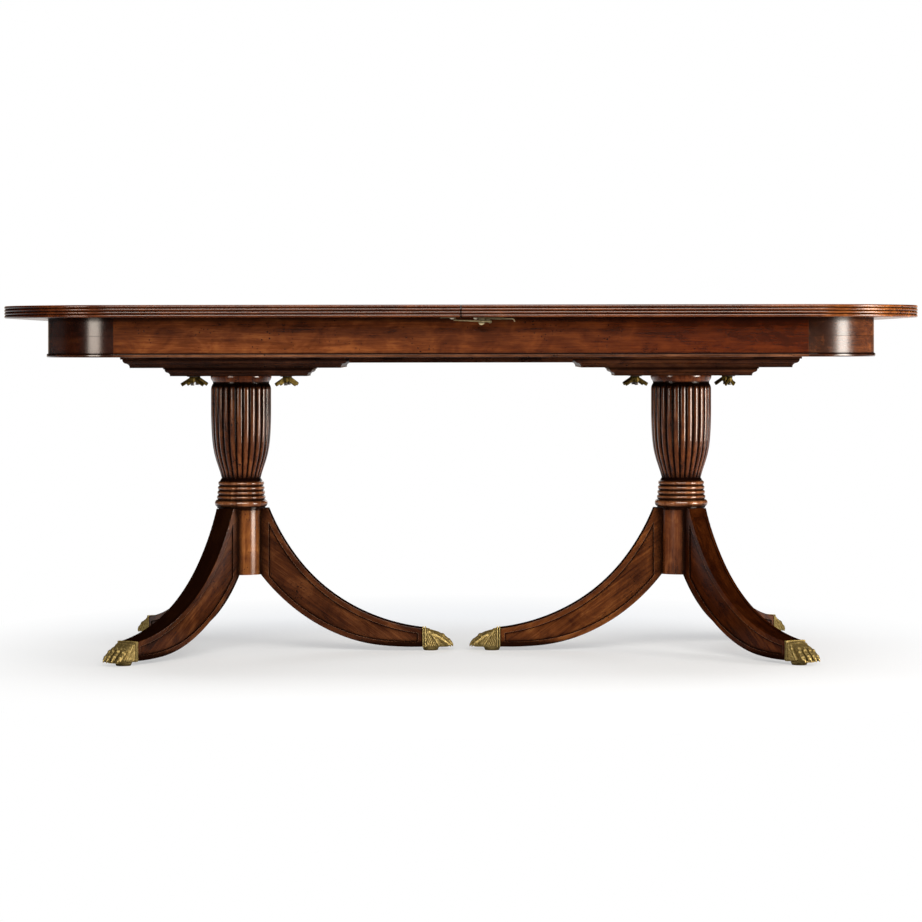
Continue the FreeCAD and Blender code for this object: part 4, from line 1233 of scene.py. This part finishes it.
@dataclass
class LatchScrew:
    """The round slotted head of a latch screw, made about +Z with its flat side up."""

    radius: float = 5.0 * MM
    rise: float = 3.0 * MM
    slot_half: float = 0.55 * MM
    slot_deep: float = 1.1 * MM
    slot_share: float = 0.6
    facets: int = 40
    dome: tuple[float, ...] = (0.0, 8.0, 30.0, 50.0, 68.0, 82.0)
    crease: float = 40.0

    def mesh(self) -> Mesh:
        """Makes the head.

        Returns:
            The finished mesh, with its material.
        """
        head = Clay()
        angles = [math.radians(angle) for angle in self.dome]
        head.loft([round_ring(self.radius * math.cos(angle), -self.rise * math.sin(angle),
                              self.facets) for angle in angles])
        for vertex in head.mesh.verts:
            domed = vertex.co.z < -self.rise * self.slot_share
            if abs(vertex.co.y) < self.slot_half and domed:
                vertex.co.z += self.slot_deep
        mesh = head.pour(bpy.data.meshes.new("latch_screw_head"))
        crease(mesh, self.crease)
        mesh.materials.append(GLINT_BRASS.material())
        return mesh


@dataclass
class Hardware:
    """The latches, pads, bolts and the board that ties the pedestals."""

    keeper_screw: float = -18.0 * MM
    base_screw: float = 31.0 * MM
    plate_thick: float = 1.6 * MM
    tie_seed: float = 17.0

    def fit_screws(self, mesh: Mesh) -> None:
        """Puts a round head on the keeper and on the base of each latch."""
        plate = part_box("latch_bases")[1].z - self.plate_thick
        for row in ROWS:
            low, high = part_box(row + "_latch_lever")
            y = (low.y + high.y) / 2
            for body, x in (("left_top", self.keeper_screw), ("right_top", self.base_screw)):
                add_piece(f"{row}_{body}_screw_head", mesh, body, "",
                          Matrix.Translation((x, y, plate)))

    def dress(self) -> None:
        """Finishes them."""
        brass = LATCH_BRASS.material()
        for node in ("latch_keepers", "latch_bases", "latch_pins"):
            coat(node, brass)
        coat("floor_pads", BRASS.material())
        for row, kind in product(ROWS, ("lever", "bail")):
            coat(f"{row}_latch_{kind}", brass)
        for node in ("pedestal_bolts", "bolt_washers"):
            coat(node, STEEL.material())
        coat("tie_board", SHADED.material(*Grain.ALONG.value, self.tie_seed))


@dataclass(frozen=True)
class Softbox:
    """A soft rectangular lamp that faces the table."""

    name: str
    place: Triple
    width: float
    height: float
    watts: float
    tint: Colour = WHITE
    aim: Triple = (0.0, 0.0, 0.45)

    def hang(self) -> None:
        """Hangs the lamp."""
        data = bpy.data.lights.new(self.name, "AREA")
        data.shape = "RECTANGLE"
        data.size = self.width
        data.size_y = self.height
        data.energy = self.watts
        data.color = self.tint
        lamp = add_object(self.name, data)
        lamp.location = self.place
        way = Vector(self.aim) - Vector(self.place)
        lamp.rotation_euler = way.to_track_quat("-Z", "Y").to_euler()


@dataclass
class Studio:
    """The white floor and surround, the lamps and the camera."""

    floor_half: float = 14.0
    floor_fade: Span = (0.95, 1.7)
    floor_stretch: Triple = (1.35, 1.0, 1.0)
    floor_colour: Colour = (0.82, 0.82, 0.82)
    floor_seen: Colour = (0.5, 0.523, 0.553)
    floor_unlit: Colour = (0.07, 0.05, 0.036)
    floor_glow: float = 0.44
    mirror_span: Span = (-0.6, 1.6)
    mirror_floor: float = 0.05
    fill: float = 0.2
    room: float = 0.015
    sweep_edge: Span = (0.88, 1.0)
    camera_distance: float = 7.47
    camera_height: float = 0.683
    camera_reach: float = 60.0
    lens: float = 129.6
    frame_drop: float = 0.1244
    roll: float = 0.0013
    lamps: tuple[Softbox, ...] = (
        Softbox("left_key", (-2.75, -3.1, 0.78), 1.1, 0.55, 18.0, WARM),
        Softbox("right_strip", (3.15, -1.6, 0.95), 0.9, 1.0, 36.5, SOFT),
        Softbox("right_low", (2.6, -1.3, 0.3), 1.2, 0.56, 27.0, WARM, (0.0, 0.0, 0.4)),
        Softbox("front_top", (0.3, -4.1, 2.5), 3.8, 2.0, 178.0, MILD, (0.0, 0.0, 0.5)),
        Softbox("overhead", (0.0, 0.5, 3.3), 3.4, 2.4, 60.0),
        Softbox("back_fill", (0.4, 4.2, 1.8), 2.6, 1.6, 62.0),
    )

    def lay_floor(self) -> None:
        """Lays the pale floor, which fades to white away from the table."""
        reach = self.floor_half
        corners = [(-reach, -reach, 0), (reach, -reach, 0), (reach, reach, 0), (-reach, reach, 0)]
        mesh = bpy.data.meshes.new("floor")
        mesh.from_pydata(corners, [], [(0, 1, 2, 3)])
        material = bpy.data.materials.new("white_floor")
        graph = empty_graph(material)
        colours = (self.floor_colour, self.floor_seen, self.floor_unlit)
        matt, veiled, dark = (graph.result("BsdfDiffuse", {"Color": colour}) for colour in colours)
        glow, white = (graph.result("Emission", {"Color": WHITE, "Strength": strength})
                       for strength in (self.floor_glow, 1.0))
        lit = graph.result("AddShader", {0: veiled, 1: glow})
        where = graph.coords("Object")
        away = graph.add("VectorMath", {0: graph.scaled(where, self.floor_stretch)},
                         operation="LENGTH").outputs["Value"]
        shown = graph.shaders(graph.remap(away, *self.floor_fade), lit, white)
        direct, mirrored = graph.rays()
        depth = graph.remap(graph.part(where, "Y"), *self.mirror_span, self.mirror_floor, 1.0)
        seen = graph.most(direct, graph.times(mirrored, depth))
        unseen = graph.shaders(mirrored, matt, dark)
        graph.add("OutputMaterial", {"Surface": graph.shaders(seen, unseen, shown)})
        mesh.materials.append(material)
        floor = add_object("floor", mesh)

    def light(self) -> None:
        """Hangs the lamps and sets the white surround."""
        for lamp in self.lamps:
            lamp.hang()
        world = bpy.data.worlds.new("white_studio")
        graph = empty_graph(world)
        way = graph.part(graph.coords("Generated"), "Y")
        sweep = graph.remap(way, *self.sweep_edge, self.room, 1.0)
        fill = graph.result("Background", {"Strength": self.fill})
        room = graph.result("Background", {"Color": DIM, "Strength": sweep})
        white = graph.result("Background", {"Color": WHITE, "Strength": 1.0})
        direct, mirrored = graph.rays()
        unseen = graph.shaders(mirrored, fill, room)
        graph.add("OutputWorld", {"Surface": graph.shaders(direct, unseen, white)})
        bpy.context.scene.world = world

    def set_camera(self) -> None:
        """Stands a level camera in front of the table."""
        data = bpy.data.cameras.new("front_camera")
        data.lens = self.lens
        data.shift_y = -self.frame_drop
        data.clip_end = self.camera_reach
        camera = add_object("front_camera", data)
        camera.location = (0.0, -self.camera_distance, self.camera_height)
        camera.rotation_euler = (math.pi / 2, self.roll, 0.0)
        bpy.context.scene.camera = camera
        bpy.context.scene.view_settings.view_transform = "Standard"


def main() -> None:
    """Builds and dresses the table, then the studio."""
    logging.basicConfig(level=logging.INFO, format="%(name)s: %(message)s")
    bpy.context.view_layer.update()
    top = TableTop()
    top.dress()
    top.fill_seam()
    Apron().dress()
    hardware = Hardware()
    hardware.dress()
    hardware.fit_screws(LatchScrew().mesh())
    paw = PawFoot().mesh()
    nut = WingNut().mesh()
    # Lit and shaded copies paint the uneven light on the two pedestals
    left = Pedestal("left", seed=11.0, boards=SHADED, column=LIT_TURNED,
                    legs=(LEG_WOOD, LEG_WOOD, BACK_LEG))
    right = Pedestal("right", seed=14.0, boards=LIT_SHADED, column=TURNED,
                     legs=(LIT_LEG, SHADED_LEG, BACK_LEG))
    for pedestal in (left, right):
        pedestal.dress()
        pedestal.fit_paws(paw)
        pedestal.fit_wing_nuts(nut)
    studio = Studio()
    studio.lay_floor()
    studio.light()
    studio.set_camera()


if __name__ == "__main__":
    main()
